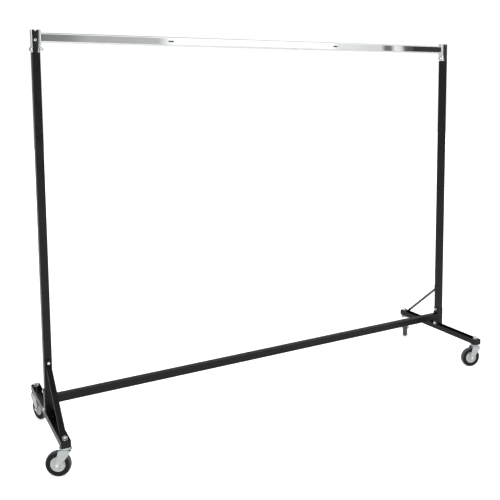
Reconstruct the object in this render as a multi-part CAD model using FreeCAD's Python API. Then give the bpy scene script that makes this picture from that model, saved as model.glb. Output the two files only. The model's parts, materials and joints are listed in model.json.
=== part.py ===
import FreeCAD
import Part

import math
import os

# Rolling clothes rack, in millimetres. +X runs along the hanging rail, +Z is up, and the origin
# is on the floor, midway between the two end frames. The left end frame is built about its own
# upright, with x pointing inwards, and the right one is the same frame turned half a turn.

# Overall
upright_spacing = 2134.0
upright_top = 1600.0
leg_length = 584.0

# Square tube of the uprights and the crossbar
tube_size = 31.75
tube_wall = 1.6
tube_corner = 2.5

# Leg: an upturned channel with closed ends
leg_height = 27.0
leg_wall = 2.5
leg_gap = 0.5
leg_bend = 3.0
weld_leg = 5.0

# Crossbar with its plates and bolts
crossbar_above_leg = 46.5
crossbar_bolt_offset = 38.5
plate_margin = 7.5
end_plate_thickness = 4.0
end_plate_edge = 0.3
backing_plate_thickness = 3.0
backing_plate_edge = 2.3

# Brace: a flat bar from the upright to a caster's nut
brace_width = 22.0
brace_thickness = 6.0
brace_bolt_above_leg = 207.0
brace_tab = 12.0
brace_bend_clear = 6.0
brace_bend = 4.0
brace_bolt_radius = 3.0
brace_bolt_flats = 10.0
brace_bolt_head = 4.0
brace_nut_height = 6.0

# Bolts of the frame, with their nuts and washers
bolt_radius = 4.0
bolt_hole_gap = 0.2
head_flats = 13.0
head_height = 5.5
nut_height = 6.5
washer_radius = 8.0
washer_thickness = 1.6
thread_end = 2.0

# Hanging rail in three sections, joined by sleeves
rail_height = 38.1
rail_depth = 19.0
rail_corner = 6.0
rail_wall = 1.6
rail_above_upright = 39.5
rail_joint_left = -502.0
rail_joint_right = 355.0
sleeve_length = 120.0
sleeve_gap = 0.1
slot_length = 26.0
slot_height = 6.5
joint_screw_radius = 2.0
joint_screw_head_radius = 2.9

# Top bracket that carries the rail's end
plug_length = 35.0
plug_gap = 0.15
bracket_reach = 6.6
bracket_taper = 37.0
bracket_roof = 10.4
bracket_corner = 9.0
notch_half_width = 6.5
notch_depth = 7.5
socket_gap = 0.3
socket_depth = 31.5
rail_end_gap = 0.5
rail_screw_drop = 10.0
rail_screw_from_end = 7.0
rail_screw_radius = 3.0
rail_screw_head_radius = 5.0
rail_screw_head_height = 2.5
clamp_height = 13.0
clamp_washer_radius = 11.0
clamp_boss_radius = 10.0
clamp_boss_reach = 4.6

# Caster: stem, race and ball ring stay with the leg
stem_inset = 20.0
stem_radius = 6.0
stem_hole_gap = 0.3
stem_above_nut = 2.5
stem_nut_flats = 18.0
stem_nut_height = 9.0
stem_washer_radius = 11.5
spacer_radius = 9.0
spacer_below_flange = 7.5
race_radius = 22.0
race_thickness = 2.6
race_lip = 4.0
race_wall = 1.8
ball_ring_radius = 14.0
ball_radius = 2.4
collar_radius = 9.5
kingpin_radius = 9.5
kingpin_height = 4.5

# Caster: fork, axle and wheel
swivel_gap = 0.3
running_fit = 0.05
trail = 27.0
wheel_radius = 49.0
wheel_to_leg = 19.0
tyre_half_width = 12.0
tyre_height = 20.0
bead_chamfer = 1.0
shoulder_drop = 3.4
shoulder_inset = 1.8
tread_inset = 4.5
hub_boss_radius = 13.0
hub_boss_over_tyre = 1.7
hub_web_half_width = 6.0
hub_rim_inset = 1.5
hub_rim_thickness = 3.0
hub_slope = 1.5
bushing_radius = 7.0
bushing_over_hub = 0.4
fork_gap = 0.8
fork_wall = 2.5
fork_crown_radius = 21.0
fork_skirt = 11.0
fork_heel_inset = 6.3
fork_boss_radius = 9.5
fork_shoulder = 3.0
fork_crown_drop = 8.4
axle_flats = 11.0
axle_head = 3.0
axle_nut_height = 4.5
axle_end = 1.0

# Where each caster points at rest: the direction from its stem to its axle, in degrees from +X
caster_headings = {
    "front_left": 150.0,
    "front_right": 164.5,
    "rear_left": -72.0,
    "rear_right": 229.5,
}

# Worked out from the sizes above
half_span = upright_spacing / 2
half_tube = tube_size / 2
half_leg = leg_length / 2
leg_underside = 2 * wheel_radius + wheel_to_leg
leg_half_width = half_tube + leg_gap + leg_wall
leg_inner_half = half_tube + leg_gap
web_top = leg_underside + leg_wall
leg_top = leg_underside + leg_height
stem_y = half_leg - stem_inset
brace_seat = leg_top - spacer_below_flange
stem_washer_base = brace_seat + brace_thickness
stem_nut_base = stem_washer_base + washer_thickness
stem_top = stem_nut_base + stem_nut_height + stem_above_nut
crossbar_height = leg_top + crossbar_above_leg
brace_bolt_height = leg_top + brace_bolt_above_leg
plate_half_height = crossbar_bolt_offset + plate_margin
rail_bottom = upright_top + rail_above_upright
rail_centre = rail_bottom + rail_height / 2
rail_top = rail_bottom + rail_height
bracket_top = rail_top + bracket_roof
clamp_z = upright_top + clamp_height
bolt_heights = [crossbar_height - crossbar_bolt_offset, crossbar_height + crossbar_bolt_offset]
tyre_bore = wheel_radius - tyre_height
hub_half_length = tyre_half_width + hub_boss_over_tyre
bushing_half_length = hub_half_length + bushing_over_hub
fork_inner_half = bushing_half_length + fork_gap
fork_outer_half = fork_inner_half + fork_wall
fork_top = leg_underside - fork_crown_drop
race_underside = leg_underside - race_thickness

X = FreeCAD.Vector(1, 0, 0)
Y = FreeCAD.Vector(0, 1, 0)
Z = FreeCAD.Vector(0, 0, 1)


def point(x, y, z):
    return FreeCAD.Vector(x, y, z)


def block(x, y, z):
    """A box from three (low, high) pairs."""
    corner = point(x[0], y[0], z[0])
    return Part.makeBox(x[1] - x[0], y[1] - y[0], z[1] - z[0], corner)


def rod(radius, start, direction, length):
    return Part.makeCylinder(radius, length, start, direction)


def ring(outer, inner, start, direction, length):
    return rod(outer, start, direction, length).cut(rod(inner, start, direction, length))


def hexagon(flats, start, direction, length):
    """A hexagonal prism along a direction, as a nut's or a bolt head's outside."""
    turn = FreeCAD.Rotation(Z, direction)
    corner = flats / math.sqrt(3)
    places = [math.radians(60 * i) for i in range(7)]
    corners = [start + turn.multVec(point(corner * math.cos(a), corner * math.sin(a), 0)) for a in places]
    return Part.Face(Part.makePolygon(corners)).extrude(direction * length)


def nut(flats, hole, start, direction, length):
    return hexagon(flats, start, direction, length).cut(rod(hole, start, direction, length))


def bolt(radius, flats, head, start, direction, length):
    """A hex bolt: start is under its head, and direction points along its shank."""
    shank = rod(radius, start, direction, length)
    return hexagon(flats, start, direction * -1, head).fuse(shank).removeSplitter()


def rounded_bar(width, height, corner, start, end):
    """A bar along +Z with a rounded rectangular section, centred on the Z axis."""
    bar = block((-width / 2, width / 2), (-height / 2, height / 2), (start, end))
    upright_edges = [e for e in bar.Edges if abs(e.tangentAt(e.FirstParameter).z) > 0.9]
    return bar.makeFillet(corner, upright_edges)


def rounded_tube(width, height, corner, wall, start, end):
    outside = rounded_bar(width, height, corner, start, end)
    inside = rounded_bar(width - 2 * wall, height - 2 * wall, corner - wall, start, end)
    return outside.cut(inside)


def along_x(shape, height):
    """Lay a shape that runs along +Z along +X, with its section's width along Y."""
    laid = shape.copy()
    laid.Placement = FreeCAD.Placement(point(0, 0, height), FreeCAD.Rotation(Y, Z, X, "ZXY"))
    return laid


def bent_strip(path, thickness, width, inner_bend):
    """A flat bar bent along a path of (y, z) points on one face, with its width along X."""
    count = len(path)
    normals = []
    for i in range(count - 1):
        run = (path[i + 1][0] - path[i][0], path[i + 1][1] - path[i][1])
        size = math.hypot(run[0], run[1])
        normals.append((run[1] / size, -run[0] / size))
    other_face = []
    for i in range(count):
        before = normals[max(i - 1, 0)]
        after = normals[min(i, count - 2)]
        mitre = 1 + before[0] * after[0] + before[1] * after[1]
        shift = (thickness * (before[0] + after[0]) / mitre, thickness * (before[1] + after[1]) / mitre)
        other_face.append((path[i][0] + shift[0], path[i][1] + shift[1]))
    outline = [point(-width / 2, y, z) for y, z in path + other_face[::-1]]
    strip = Part.Face(Part.makePolygon(outline + outline[:1])).extrude(X * width)
    for side, bend_radius in bend_sides(path, other_face, normals, thickness, inner_bend):
        strip = strip.makeFillet(bend_radius, edges_at(strip, side))
    return strip


def bend_sides(path, other_face, normals, thickness, inner_bend):
    """Each bend's two corners, with the radius of each: the outside one is larger by the thickness."""
    sides = []
    for i in range(1, len(path) - 1):
        before = normals[i - 1]
        after = normals[i]
        turns_left = before[0] * after[1] - before[1] * after[0] > 0
        left_radius = inner_bend if turns_left else inner_bend + thickness
        right_radius = inner_bend + thickness if turns_left else inner_bend
        sides.append((path[i], left_radius))
        sides.append((other_face[i], right_radius))
    return sides


def edges_at(shape, place):
    """The edges along X that pass through a (y, z) place."""
    found = []
    for edge in shape.Edges:
        middle = edge.valueAt((edge.FirstParameter + edge.LastParameter) / 2)
        if math.hypot(middle.y - place[0], middle.z - place[1]) < 0.01:
            found.append(edge)
    return found


def at_left(shape):
    placed = shape.copy()
    placed.translate(point(-half_span, 0, 0))
    return placed


def at_right(shape):
    placed = shape.copy()
    placed.rotate(point(0, 0, 0), Z, 180)
    placed.translate(point(half_span, 0, 0))
    return placed


def leg():
    """The channel with its closed ends, stem holes and open top."""
    outside = block((-leg_half_width, leg_half_width), (-half_leg, half_leg), (leg_underside, leg_top))
    lower_edges = [e for e in outside.Edges if is_long_lower_edge(e)]
    outside = outside.makeFillet(leg_bend, lower_edges)
    inner_end = half_leg - leg_wall
    hollow = block((-leg_inner_half, leg_inner_half), (-inner_end, inner_end), (web_top, leg_top))
    channel = outside.cut(hollow)
    for y in (-stem_y, stem_y):
        channel = channel.cut(rod(stem_radius + stem_hole_gap, point(0, y, leg_underside), Z, leg_wall))
    return channel


def is_long_lower_edge(edge):
    middle = edge.valueAt((edge.FirstParameter + edge.LastParameter) / 2)
    return edge.Length > 2 * leg_half_width + 1 and middle.z < leg_underside + 0.01


def leg_welds():
    """The two beads that hold the upright on the channel's web, before and behind it."""
    beads = []
    for side in (-1, 1):
        face = side * half_tube
        toe = side * (half_tube + weld_leg)
        corners = [point(0, face, web_top), point(0, toe, web_top), point(0, face, web_top + weld_leg)]
        bead = Part.Face(Part.makePolygon(corners + corners[:1]))
        bead.translate(point(-half_tube + tube_corner, 0, 0))
        beads.append(bead.extrude(X * (tube_size - 2 * tube_corner)))
    return Part.makeCompound(beads)


def upright():
    """Square tube with two bolt holes for the crossbar and one in its front wall for the brace."""
    tube = rounded_tube(tube_size, tube_size, tube_corner, tube_wall, web_top, upright_top)
    hole = bolt_radius + bolt_hole_gap
    for z in bolt_heights:
        tube = tube.cut(rod(hole, point(-half_tube - 1, 0, z), X, tube_size + 2))
    brace_hole = brace_bolt_radius + bolt_hole_gap
    return tube.cut(rod(brace_hole, point(0, -half_tube - 1, brace_bolt_height), Y, tube_wall + 2))


def brace():
    """The flat bar on the upright's front face, bent down into the leg and under the caster's nut."""
    lower_bend_y = -(stem_y - stem_washer_radius - brace_bend_clear)
    path = [
        (-half_tube, brace_bolt_height + brace_tab),
        (-half_tube, brace_bolt_height - brace_tab),
        (lower_bend_y, brace_seat),
        (-(stem_y + brace_tab), brace_seat),
    ]
    strip = bent_strip(path, brace_thickness, brace_width, brace_bend)
    top_start = point(0, -half_tube - brace_thickness - 1, brace_bolt_height)
    strip = strip.cut(rod(brace_bolt_radius + bolt_hole_gap, top_start, Y, brace_thickness + 2))
    low_start = point(0, -stem_y, brace_seat - 1)
    return strip.cut(rod(stem_radius + stem_hole_gap, low_start, Z, brace_thickness + 2))


def brace_bolt():
    start = point(0, -half_tube - brace_thickness, brace_bolt_height)
    grip = brace_thickness + tube_wall + brace_nut_height
    return bolt(brace_bolt_radius, brace_bolt_flats, brace_bolt_head, start, Y, grip + thread_end)


def brace_nut():
    """The weld nut inside the upright, on its front wall."""
    seat = point(0, tube_wall - half_tube, brace_bolt_height)
    return nut(brace_bolt_flats, brace_bolt_radius, seat, Y, brace_nut_height)


def crossbar_plate():
    """The plate welded to the crossbar's end, on the upright's inner face."""
    x = (half_tube, half_tube + end_plate_thickness)
    z = (crossbar_height - plate_half_height, crossbar_height + plate_half_height)
    plate = block(x, (end_plate_edge - half_tube, half_tube - end_plate_edge), z)
    for height in bolt_heights:
        hole_start = point(half_tube - 1, 0, height)
        plate = plate.cut(rod(bolt_radius + bolt_hole_gap, hole_start, X, end_plate_thickness + 2))
    return plate


def backing_plate():
    """The plate under the bolt heads, on the upright's outer face."""
    x = (-half_tube - backing_plate_thickness, -half_tube)
    z = (crossbar_height - plate_half_height, crossbar_height + plate_half_height)
    plate = block(x, (backing_plate_edge - half_tube, half_tube - backing_plate_edge), z)
    for height in bolt_heights:
        hole_start = point(x[0] - 1, 0, height)
        plate = plate.cut(rod(bolt_radius + bolt_hole_gap, hole_start, X, backing_plate_thickness + 2))
    return plate


def crossbar_bolts():
    head_face = -half_tube - backing_plate_thickness
    grip = half_tube + end_plate_thickness - head_face + washer_thickness + nut_height
    bolts = []
    for z in bolt_heights:
        bolts.append(bolt(bolt_radius, head_flats, head_height, point(head_face, 0, z), X, grip + thread_end))
    return bolts


def crossbar_washers():
    face = half_tube + end_plate_thickness
    hole = bolt_radius + bolt_hole_gap
    return [ring(washer_radius, hole, point(face, 0, z), X, washer_thickness) for z in bolt_heights]


def crossbar_nuts():
    face = half_tube + end_plate_thickness + washer_thickness
    return [nut(head_flats, bolt_radius, point(face, 0, z), X, nut_height) for z in bolt_heights]


def crossbar_tube():
    reach = half_span - half_tube - end_plate_thickness
    tube = rounded_tube(tube_size, tube_size, tube_corner, tube_wall, -reach, reach)
    return along_x(tube, crossbar_height)


def bracket():
    """The socket on the upright: a plug, a collar that widens inwards, and two prongs on top."""
    inner_face = half_tube + bracket_reach
    outline = [
        point(-half_tube, -half_tube, upright_top),
        point(half_tube, -half_tube, upright_top),
        point(inner_face, -half_tube, upright_top + bracket_taper),
        point(inner_face, -half_tube, bracket_top),
        point(-half_tube, -half_tube, bracket_top),
    ]
    body = Part.Face(Part.makePolygon(outline + outline[:1])).extrude(Y * tube_size)
    body = body.makeFillet(bracket_corner, [e for e in body.Edges if is_inner_corner(e)])
    body = body.makeFillet(tube_corner, [e for e in body.Edges if is_outer_corner(e)])
    boss_start = point(0, 0, clamp_z)
    body = body.fuse(rod(clamp_boss_radius, boss_start, X, half_tube + clamp_boss_reach))
    body = body.fuse(bracket_plug()).removeSplitter()
    socket = rounded_bar(rail_depth + 2 * socket_gap, rail_height + 2 * socket_gap, rail_corner + socket_gap,
                         inner_face - socket_depth, inner_face + 1)
    body = body.cut(along_x(socket, rail_centre))
    body = body.cut(bracket_notch())
    screw_start = point(rail_screw_x(), -half_tube - 1, rail_centre - rail_screw_drop)
    body = body.cut(rod(rail_screw_radius + bolt_hole_gap, screw_start, Y, half_tube + 1))
    clamp_start = point(-half_tube - 1, 0, clamp_z)
    return body.cut(rod(bolt_radius + bolt_hole_gap, clamp_start, X, tube_size + bracket_reach + 2))


def is_inner_corner(edge):
    """An upright or sloping edge of the bracket on its inner side."""
    middle = edge.valueAt((edge.FirstParameter + edge.LastParameter) / 2)
    steep = abs(edge.tangentAt(edge.FirstParameter).z) > 0.5
    return steep and middle.x > half_tube


def is_outer_corner(edge):
    middle = edge.valueAt((edge.FirstParameter + edge.LastParameter) / 2)
    steep = abs(edge.tangentAt(edge.FirstParameter).z) > 0.5
    return steep and middle.x < 0


def bracket_plug():
    size = tube_size - 2 * tube_wall - 2 * plug_gap
    return rounded_bar(size, size, tube_corner - tube_wall + plug_gap, upright_top - plug_length, upright_top)


def bracket_notch():
    """The V between the two prongs, cut from front to rear."""
    corners = [
        point(-notch_half_width, -half_tube - 1, bracket_top + 1),
        point(0, -half_tube - 1, bracket_top - notch_depth),
        point(notch_half_width, -half_tube - 1, bracket_top + 1),
    ]
    return Part.Face(Part.makePolygon(corners + corners[:1])).extrude(Y * (tube_size + 2))


def rail_screw_x():
    """Where the screw crosses the rail's end, from the upright's centre."""
    return half_tube + bracket_reach - socket_depth + rail_end_gap + rail_screw_from_end


def rail_screw():
    place = point(rail_screw_x(), -half_tube, rail_centre - rail_screw_drop)
    shank = rod(rail_screw_radius, place, Y, half_tube - rail_depth / 2 + 3 * rail_wall)
    head = rod(rail_screw_head_radius, place, Y * -1, rail_screw_head_height)
    return head.fuse(shank).removeSplitter()


def clamp_seats():
    """Where the clamp bolt's outer and inner washers end."""
    outer = -half_tube - washer_thickness
    inner = half_tube + clamp_boss_reach + washer_thickness
    return outer, inner


def clamp_bolt():
    outer, inner = clamp_seats()
    length = inner - outer + nut_height + thread_end
    screw = bolt(bolt_radius, head_flats, head_height, point(outer, 0, clamp_z), X, length)
    washer = ring(clamp_washer_radius, bolt_radius + bolt_hole_gap, point(outer, 0, clamp_z), X,
                  washer_thickness)
    return Part.makeCompound([screw, washer])


def clamp_nut():
    outer, inner = clamp_seats()
    washer_start = point(inner - washer_thickness, 0, clamp_z)
    washer = ring(clamp_washer_radius, bolt_radius + bolt_hole_gap, washer_start, X, washer_thickness)
    return Part.makeCompound([washer, nut(head_flats, bolt_radius, point(inner, 0, clamp_z), X, nut_height)])


def slot_cutter(joint, side):
    """A slot through the rail's front (side -1) or rear (side 1) wall, centred on a joint."""
    outside = side * (rail_depth / 2 + 1)
    inside = side * (rail_depth / 2 - rail_wall - sleeve_gap / 2)
    half_run = (slot_length - slot_height) / 2
    z = (rail_centre - slot_height / 2, rail_centre + slot_height / 2)
    cutter = block((joint - half_run, joint + half_run), sorted((outside, inside)), z)
    for x in (joint - half_run, joint + half_run):
        start = point(x, outside, rail_centre)
        cutter = cutter.fuse(rod(slot_height / 2, start, Y * -side, abs(outside - inside)))
    return cutter


def rail_section(start, end, joints):
    tube = rounded_tube(rail_depth, rail_height, rail_corner, rail_wall, start, end)
    tube = along_x(tube, rail_centre)
    for joint in joints:
        for side in (-1, 1):
            tube = tube.cut(slot_cutter(joint, side))
    return tube


def rail_end_hole(section, place, side):
    """The hole for the bracket's screw in the rail's face."""
    start = point(place, side * (rail_depth / 2 + 1), rail_centre - rail_screw_drop)
    return section.cut(rod(rail_screw_radius + bolt_hole_gap, start, Y * -side, rail_wall + 2))


def rail_left():
    end = -half_span + half_tube + bracket_reach - socket_depth + rail_end_gap
    section = rail_section(end, rail_joint_left, [rail_joint_left])
    return rail_end_hole(section, -half_span + rail_screw_x(), -1)


def rail_right():
    end = half_span - half_tube - bracket_reach + socket_depth - rail_end_gap
    section = rail_section(rail_joint_right, end, [rail_joint_right])
    return rail_end_hole(section, half_span - rail_screw_x(), 1)


def rail_middle():
    return rail_section(rail_joint_left, rail_joint_right, [rail_joint_left, rail_joint_right])


def rail_sleeve(joint):
    """The tube inside the rail that joins two sections, with a screw hole front and rear."""
    lost = 2 * (rail_wall + sleeve_gap)
    corner = rail_corner - rail_wall - sleeve_gap
    tube = rounded_tube(rail_depth - lost, rail_height - lost, corner, rail_wall,
                        joint - sleeve_length / 2, joint + sleeve_length / 2)
    tube = along_x(tube, rail_centre)
    hole_start = point(joint, -rail_depth, rail_centre)
    return tube.cut(rod(joint_screw_radius, hole_start, Y, 2 * rail_depth))


def joint_screws():
    """A low-headed screw in each slot, seated on the sleeve."""
    seat = rail_depth / 2 - rail_wall - sleeve_gap
    screws = []
    for joint in (rail_joint_left, rail_joint_right):
        for side in (-1, 1):
            place = point(joint, side * seat, rail_centre)
            head = rod(joint_screw_head_radius, place, Y * side, rail_wall)
            shank = rod(joint_screw_radius, place, Y * -side, 2 * rail_wall)
            screws.append(head.fuse(shank).removeSplitter())
    return Part.makeCompound(screws)


def caster_places():
    """Each caster's name and stem position, with its heading."""
    places = []
    for name, heading in caster_headings.items():
        x = half_span if name.endswith("right") else -half_span
        y = stem_y if name.startswith("rear") else -stem_y
        places.append((name, point(x, y, 0), heading))
    return places


def at_stems(shape):
    """Copies of a piece at all four stems."""
    copies = []
    for name, place, heading in caster_places():
        copy = shape.copy()
        copy.translate(place)
        copies.append(copy)
    return Part.makeCompound(copies)


def caster_stem():
    """The threaded stem with the collar over the fork's crown and the kingpin head under it."""
    kingpin_top = fork_top - fork_wall - swivel_gap
    base = kingpin_top - kingpin_height
    stem = rod(stem_radius, point(0, 0, base), Z, stem_top - base)
    collar_base = fork_top + swivel_gap
    collar = rod(collar_radius, point(0, 0, collar_base), Z, race_underside - collar_base)
    kingpin = rod(kingpin_radius, point(0, 0, base), Z, kingpin_height)
    return stem.fuse([collar, kingpin]).removeSplitter()


def top_race():
    """The pressed cap under the leg, with a lip around the ball ring."""
    hole = stem_radius + running_fit
    cap = ring(race_radius, hole, point(0, 0, race_underside), Z, race_thickness)
    lip = ring(race_radius, race_radius - race_wall, point(0, 0, race_underside - race_lip), Z, race_lip)
    return cap.fuse(lip).removeSplitter()


def ball_ring():
    """The caged ball ring between the cap and the fork's crown."""
    height = race_underside - ball_radius
    return Part.makeTorus(ball_ring_radius, ball_radius, point(0, 0, height), Z)


def stem_spacer(top):
    return ring(spacer_radius, stem_radius + running_fit, point(0, 0, web_top), Z, top - web_top)


def stem_spacers():
    """Sleeves in the channel, shorter where a brace lies under the nut."""
    spacers = []
    for name, place, heading in caster_places():
        braced = name in ("front_left", "rear_right")
        spacer = stem_spacer(brace_seat if braced else stem_washer_base)
        spacer.translate(place)
        spacers.append(spacer)
    return Part.makeCompound(spacers)


def stem_washer():
    hole = stem_radius + running_fit
    return ring(stem_washer_radius, hole, point(0, 0, stem_washer_base), Z, washer_thickness)


def stem_nut():
    return nut(stem_nut_flats, stem_radius, point(0, 0, stem_nut_base), Z, stem_nut_height)


def tangent_point(outside, centre, radius, side):
    """Where a line from a point above a circle touches its left (side 1) or right (side -1), as (x, z)."""
    run = (outside[0] - centre[0], outside[1] - centre[1])
    turn = math.atan2(run[1], run[0]) + side * math.acos(radius / math.hypot(run[0], run[1]))
    return centre[0] + radius * math.cos(turn), centre[1] + radius * math.sin(turn)


def fork():
    """The pressed fork: a round crown with a skirt, and two arms that taper to the axle."""
    axle_place = (trail, wheel_radius)
    skirt_low = fork_top - fork_skirt
    heel = (fork_heel_inset - fork_crown_radius, skirt_low - fork_skirt)
    shoulder = (fork_crown_radius + fork_shoulder, skirt_low)
    arm_back = tangent_point(heel, axle_place, fork_boss_radius, 1)
    arm_front = tangent_point(shoulder, axle_place, fork_boss_radius, -1)
    outline = [
        point(-fork_crown_radius, 0, fork_top - fork_wall),
        point(-fork_crown_radius, 0, skirt_low),
        point(heel[0], 0, heel[1]),
        point(arm_back[0], 0, arm_back[1]),
        point(trail, 0, wheel_radius),
        point(arm_front[0], 0, arm_front[1]),
        point(shoulder[0], 0, shoulder[1]),
        point(fork_crown_radius, 0, fork_top - fork_wall),
    ]
    side = Part.Face(Part.makePolygon(outline + outline[:1])).extrude(Y * (2 * fork_outer_half))
    side.translate(point(0, -fork_outer_half, 0))
    boss_start = point(trail, -fork_outer_half, wheel_radius)
    body = side.fuse(rod(fork_boss_radius, boss_start, Y, 2 * fork_outer_half))
    body = body.fuse(rod(fork_crown_radius, point(0, 0, skirt_low), Z, fork_skirt))
    far = 2 * wheel_radius
    between = block((-far, far), (-fork_inner_half, fork_inner_half), (-far, fork_top - fork_wall))
    body = body.cut(between).removeSplitter()
    crown_hole = rod(stem_radius + running_fit, point(0, 0, fork_top - fork_skirt), Z, fork_skirt + 1)
    axle_hole = rod(bolt_radius + bolt_hole_gap, point(trail, -far, wheel_radius), Y, 2 * far)
    return body.cut(crown_hole).cut(axle_hole)


def axle():
    start = point(trail, -fork_outer_half, wheel_radius)
    length = 2 * fork_outer_half + axle_nut_height + axle_end
    return bolt(bolt_radius, axle_flats, axle_head, start, Y, length)


def axle_nut():
    return nut(axle_flats, bolt_radius, point(trail, fork_outer_half, wheel_radius), Y, axle_nut_height)


def turned(outline):
    """A solid of revolution about the wheel's axis, from (radius, sideways) points."""
    corners = [point(trail + r, y, wheel_radius) for r, y in outline]
    face = Part.Face(Part.makePolygon(corners + corners[:1]))
    return face.revolve(point(trail, 0, wheel_radius), Y, 360)


def wheel_bushing():
    inner = bolt_radius + running_fit
    start = point(trail, -bushing_half_length, wheel_radius)
    return ring(bushing_radius, inner, start, Y, 2 * bushing_half_length)


def wheel_centre():
    """The moulded disc between the bushing and the tyre, dished on both sides."""
    rim_half_width = tyre_half_width - hub_rim_inset
    half = [
        (bushing_radius, hub_half_length),
        (hub_boss_radius, hub_half_length),
        (hub_boss_radius + hub_slope, hub_web_half_width),
        (tyre_bore - hub_rim_thickness - hub_slope, hub_web_half_width),
        (tyre_bore - hub_rim_thickness, rim_half_width),
        (tyre_bore, rim_half_width),
    ]
    return turned(half + [(r, -y) for r, y in half[::-1]])


def tyre():
    half = [
        (tyre_bore, tyre_half_width - bead_chamfer),
        (tyre_bore + bead_chamfer, tyre_half_width),
        (wheel_radius - shoulder_drop - shoulder_inset, tyre_half_width),
        (wheel_radius - shoulder_drop + shoulder_inset, tyre_half_width - shoulder_inset),
        (wheel_radius, tyre_half_width - tread_inset),
    ]
    return turned(half + [(r, -y) for r, y in half[::-1]])


def at_caster(shape, place, heading):
    """Turn a piece made about its own stem to the caster's heading and put it at the stem."""
    placed = shape.copy()
    placed.rotate(point(0, 0, 0), Z, heading)
    placed.translate(place)
    return placed


def both_ends(shapes):
    return Part.makeCompound([at_left(s) for s in shapes] + [at_right(s) for s in shapes])


def build_nodes():
    nodes = {}
    for name, shape in (("leg", leg()), ("upright", upright()), ("brace", brace()),
                        ("crossbar_plate", crossbar_plate()), ("backing_plate", backing_plate()),
                        ("rail_bracket", bracket())):
        nodes[name + "_left"] = at_left(shape)
        nodes[name + "_right"] = at_right(shape)
    nodes["leg_welds"] = both_ends([leg_welds()])
    nodes["brace_bolts"] = both_ends([brace_bolt()])
    nodes["brace_nuts"] = both_ends([brace_nut()])
    nodes["crossbar_tube"] = crossbar_tube()
    nodes["crossbar_bolts"] = both_ends(crossbar_bolts())
    nodes["crossbar_washers"] = both_ends(crossbar_washers())
    nodes["crossbar_nuts"] = both_ends(crossbar_nuts())
    nodes["rail_screws"] = both_ends([rail_screw()])
    nodes["clamp_bolts"] = both_ends([clamp_bolt()])
    nodes["clamp_nuts"] = both_ends([clamp_nut()])
    nodes["rail_section_left"] = rail_left()
    nodes["rail_section_centre"] = rail_middle()
    nodes["rail_section_right"] = rail_right()
    nodes["rail_sleeve_left"] = rail_sleeve(rail_joint_left)
    nodes["rail_sleeve_right"] = rail_sleeve(rail_joint_right)
    nodes["rail_joint_screws"] = joint_screws()
    nodes["caster_stems"] = at_stems(caster_stem())
    nodes["top_races"] = at_stems(top_race())
    nodes["ball_rings"] = at_stems(ball_ring())
    nodes["stem_spacers"] = stem_spacers()
    nodes["stem_washers"] = at_stems(stem_washer())
    nodes["stem_nuts"] = at_stems(stem_nut())
    moving = (("fork", fork()), ("axle", axle()), ("axle_nut", axle_nut()),
              ("wheel_bushing", wheel_bushing()), ("wheel_centre", wheel_centre()), ("tyre", tyre()))
    for corner, place, heading in caster_places():
        for name, shape in moving:
            nodes[name + "_" + corner] = at_caster(shape, place, heading)
    return nodes


os.makedirs("parts", exist_ok=True)
for node, shape in build_nodes().items():
    shape.exportStep("parts/" + node + ".step")
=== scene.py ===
import json
import math
from collections import namedtuple

import bmesh
import bpy
from mathutils import Matrix, Vector


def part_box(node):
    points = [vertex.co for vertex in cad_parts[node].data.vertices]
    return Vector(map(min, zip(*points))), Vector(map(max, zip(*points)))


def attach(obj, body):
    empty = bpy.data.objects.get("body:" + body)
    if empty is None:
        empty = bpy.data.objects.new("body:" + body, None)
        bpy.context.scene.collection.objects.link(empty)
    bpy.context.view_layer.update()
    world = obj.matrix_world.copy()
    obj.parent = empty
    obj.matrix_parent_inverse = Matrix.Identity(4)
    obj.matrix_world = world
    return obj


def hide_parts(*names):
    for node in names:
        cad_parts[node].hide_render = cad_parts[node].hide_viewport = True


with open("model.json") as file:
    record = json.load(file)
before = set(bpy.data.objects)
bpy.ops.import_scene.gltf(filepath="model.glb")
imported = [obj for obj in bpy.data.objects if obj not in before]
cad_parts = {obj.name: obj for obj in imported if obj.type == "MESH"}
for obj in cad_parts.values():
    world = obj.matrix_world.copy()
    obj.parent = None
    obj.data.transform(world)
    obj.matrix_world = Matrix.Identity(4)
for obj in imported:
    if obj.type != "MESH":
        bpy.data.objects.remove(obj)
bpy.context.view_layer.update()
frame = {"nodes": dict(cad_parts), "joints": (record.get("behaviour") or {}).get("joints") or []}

bl_info = {
    "name": "Rolling clothes rack",
    "version": (1, 0, 0),
    "blender": (4, 5, 0),
    "location": "3D view > Sidebar > Rack",
    "description": "Dresses the frame of a rolling clothes rack: tubes, legs, rail, bolts and casters",
    "category": "Object",
}

ENDS = ("left", "right")
CORNERS = ("front_left", "front_right", "rear_left", "rear_right")
BRACED_CORNERS = ("front_left", "rear_right")

# Metres, and angles in radians.
WELD_DISTANCE = 2e-6
FLAT_ANGLE = math.radians(0.6)
EDGE_ANGLE = math.radians(32)
SHARP_ANGLE = math.radians(50)
HEX_TURN = math.radians(60)
THREADED_END = 0.011
AXLE_THREADED_END = 0.010
LONGEST_WASHER = 0.004
SHORTEST_BOLT = 0.01
WASHER_EDGE = 0.0003
SPACER_EDGE = 0.0004
STEM_GAP = 0.0001
AXLE_GAP = 0.00005


# ---------------------------------------------------------------- sizes and colours a user may change


def linear(code):
    """A colour written as sRGB hex, as linear red, green and blue."""
    parts = [int(code[i:i + 2], 16) / 255 for i in (1, 3, 5)]
    return tuple(c / 12.92 if c <= 0.04045 else ((c + 0.055) / 1.055) ** 2.4 for c in parts)


def length(label, note, default):
    return bpy.props.FloatProperty(name=label, description=note, default=default, min=0.0,
                                   subtype="DISTANCE", unit="LENGTH", precision=5)


def colour(label, note, code):
    return bpy.props.FloatVectorProperty(name=label, description=note, default=linear(code),
                                         size=3, min=0.0, max=1.0, subtype="COLOR")


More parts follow.
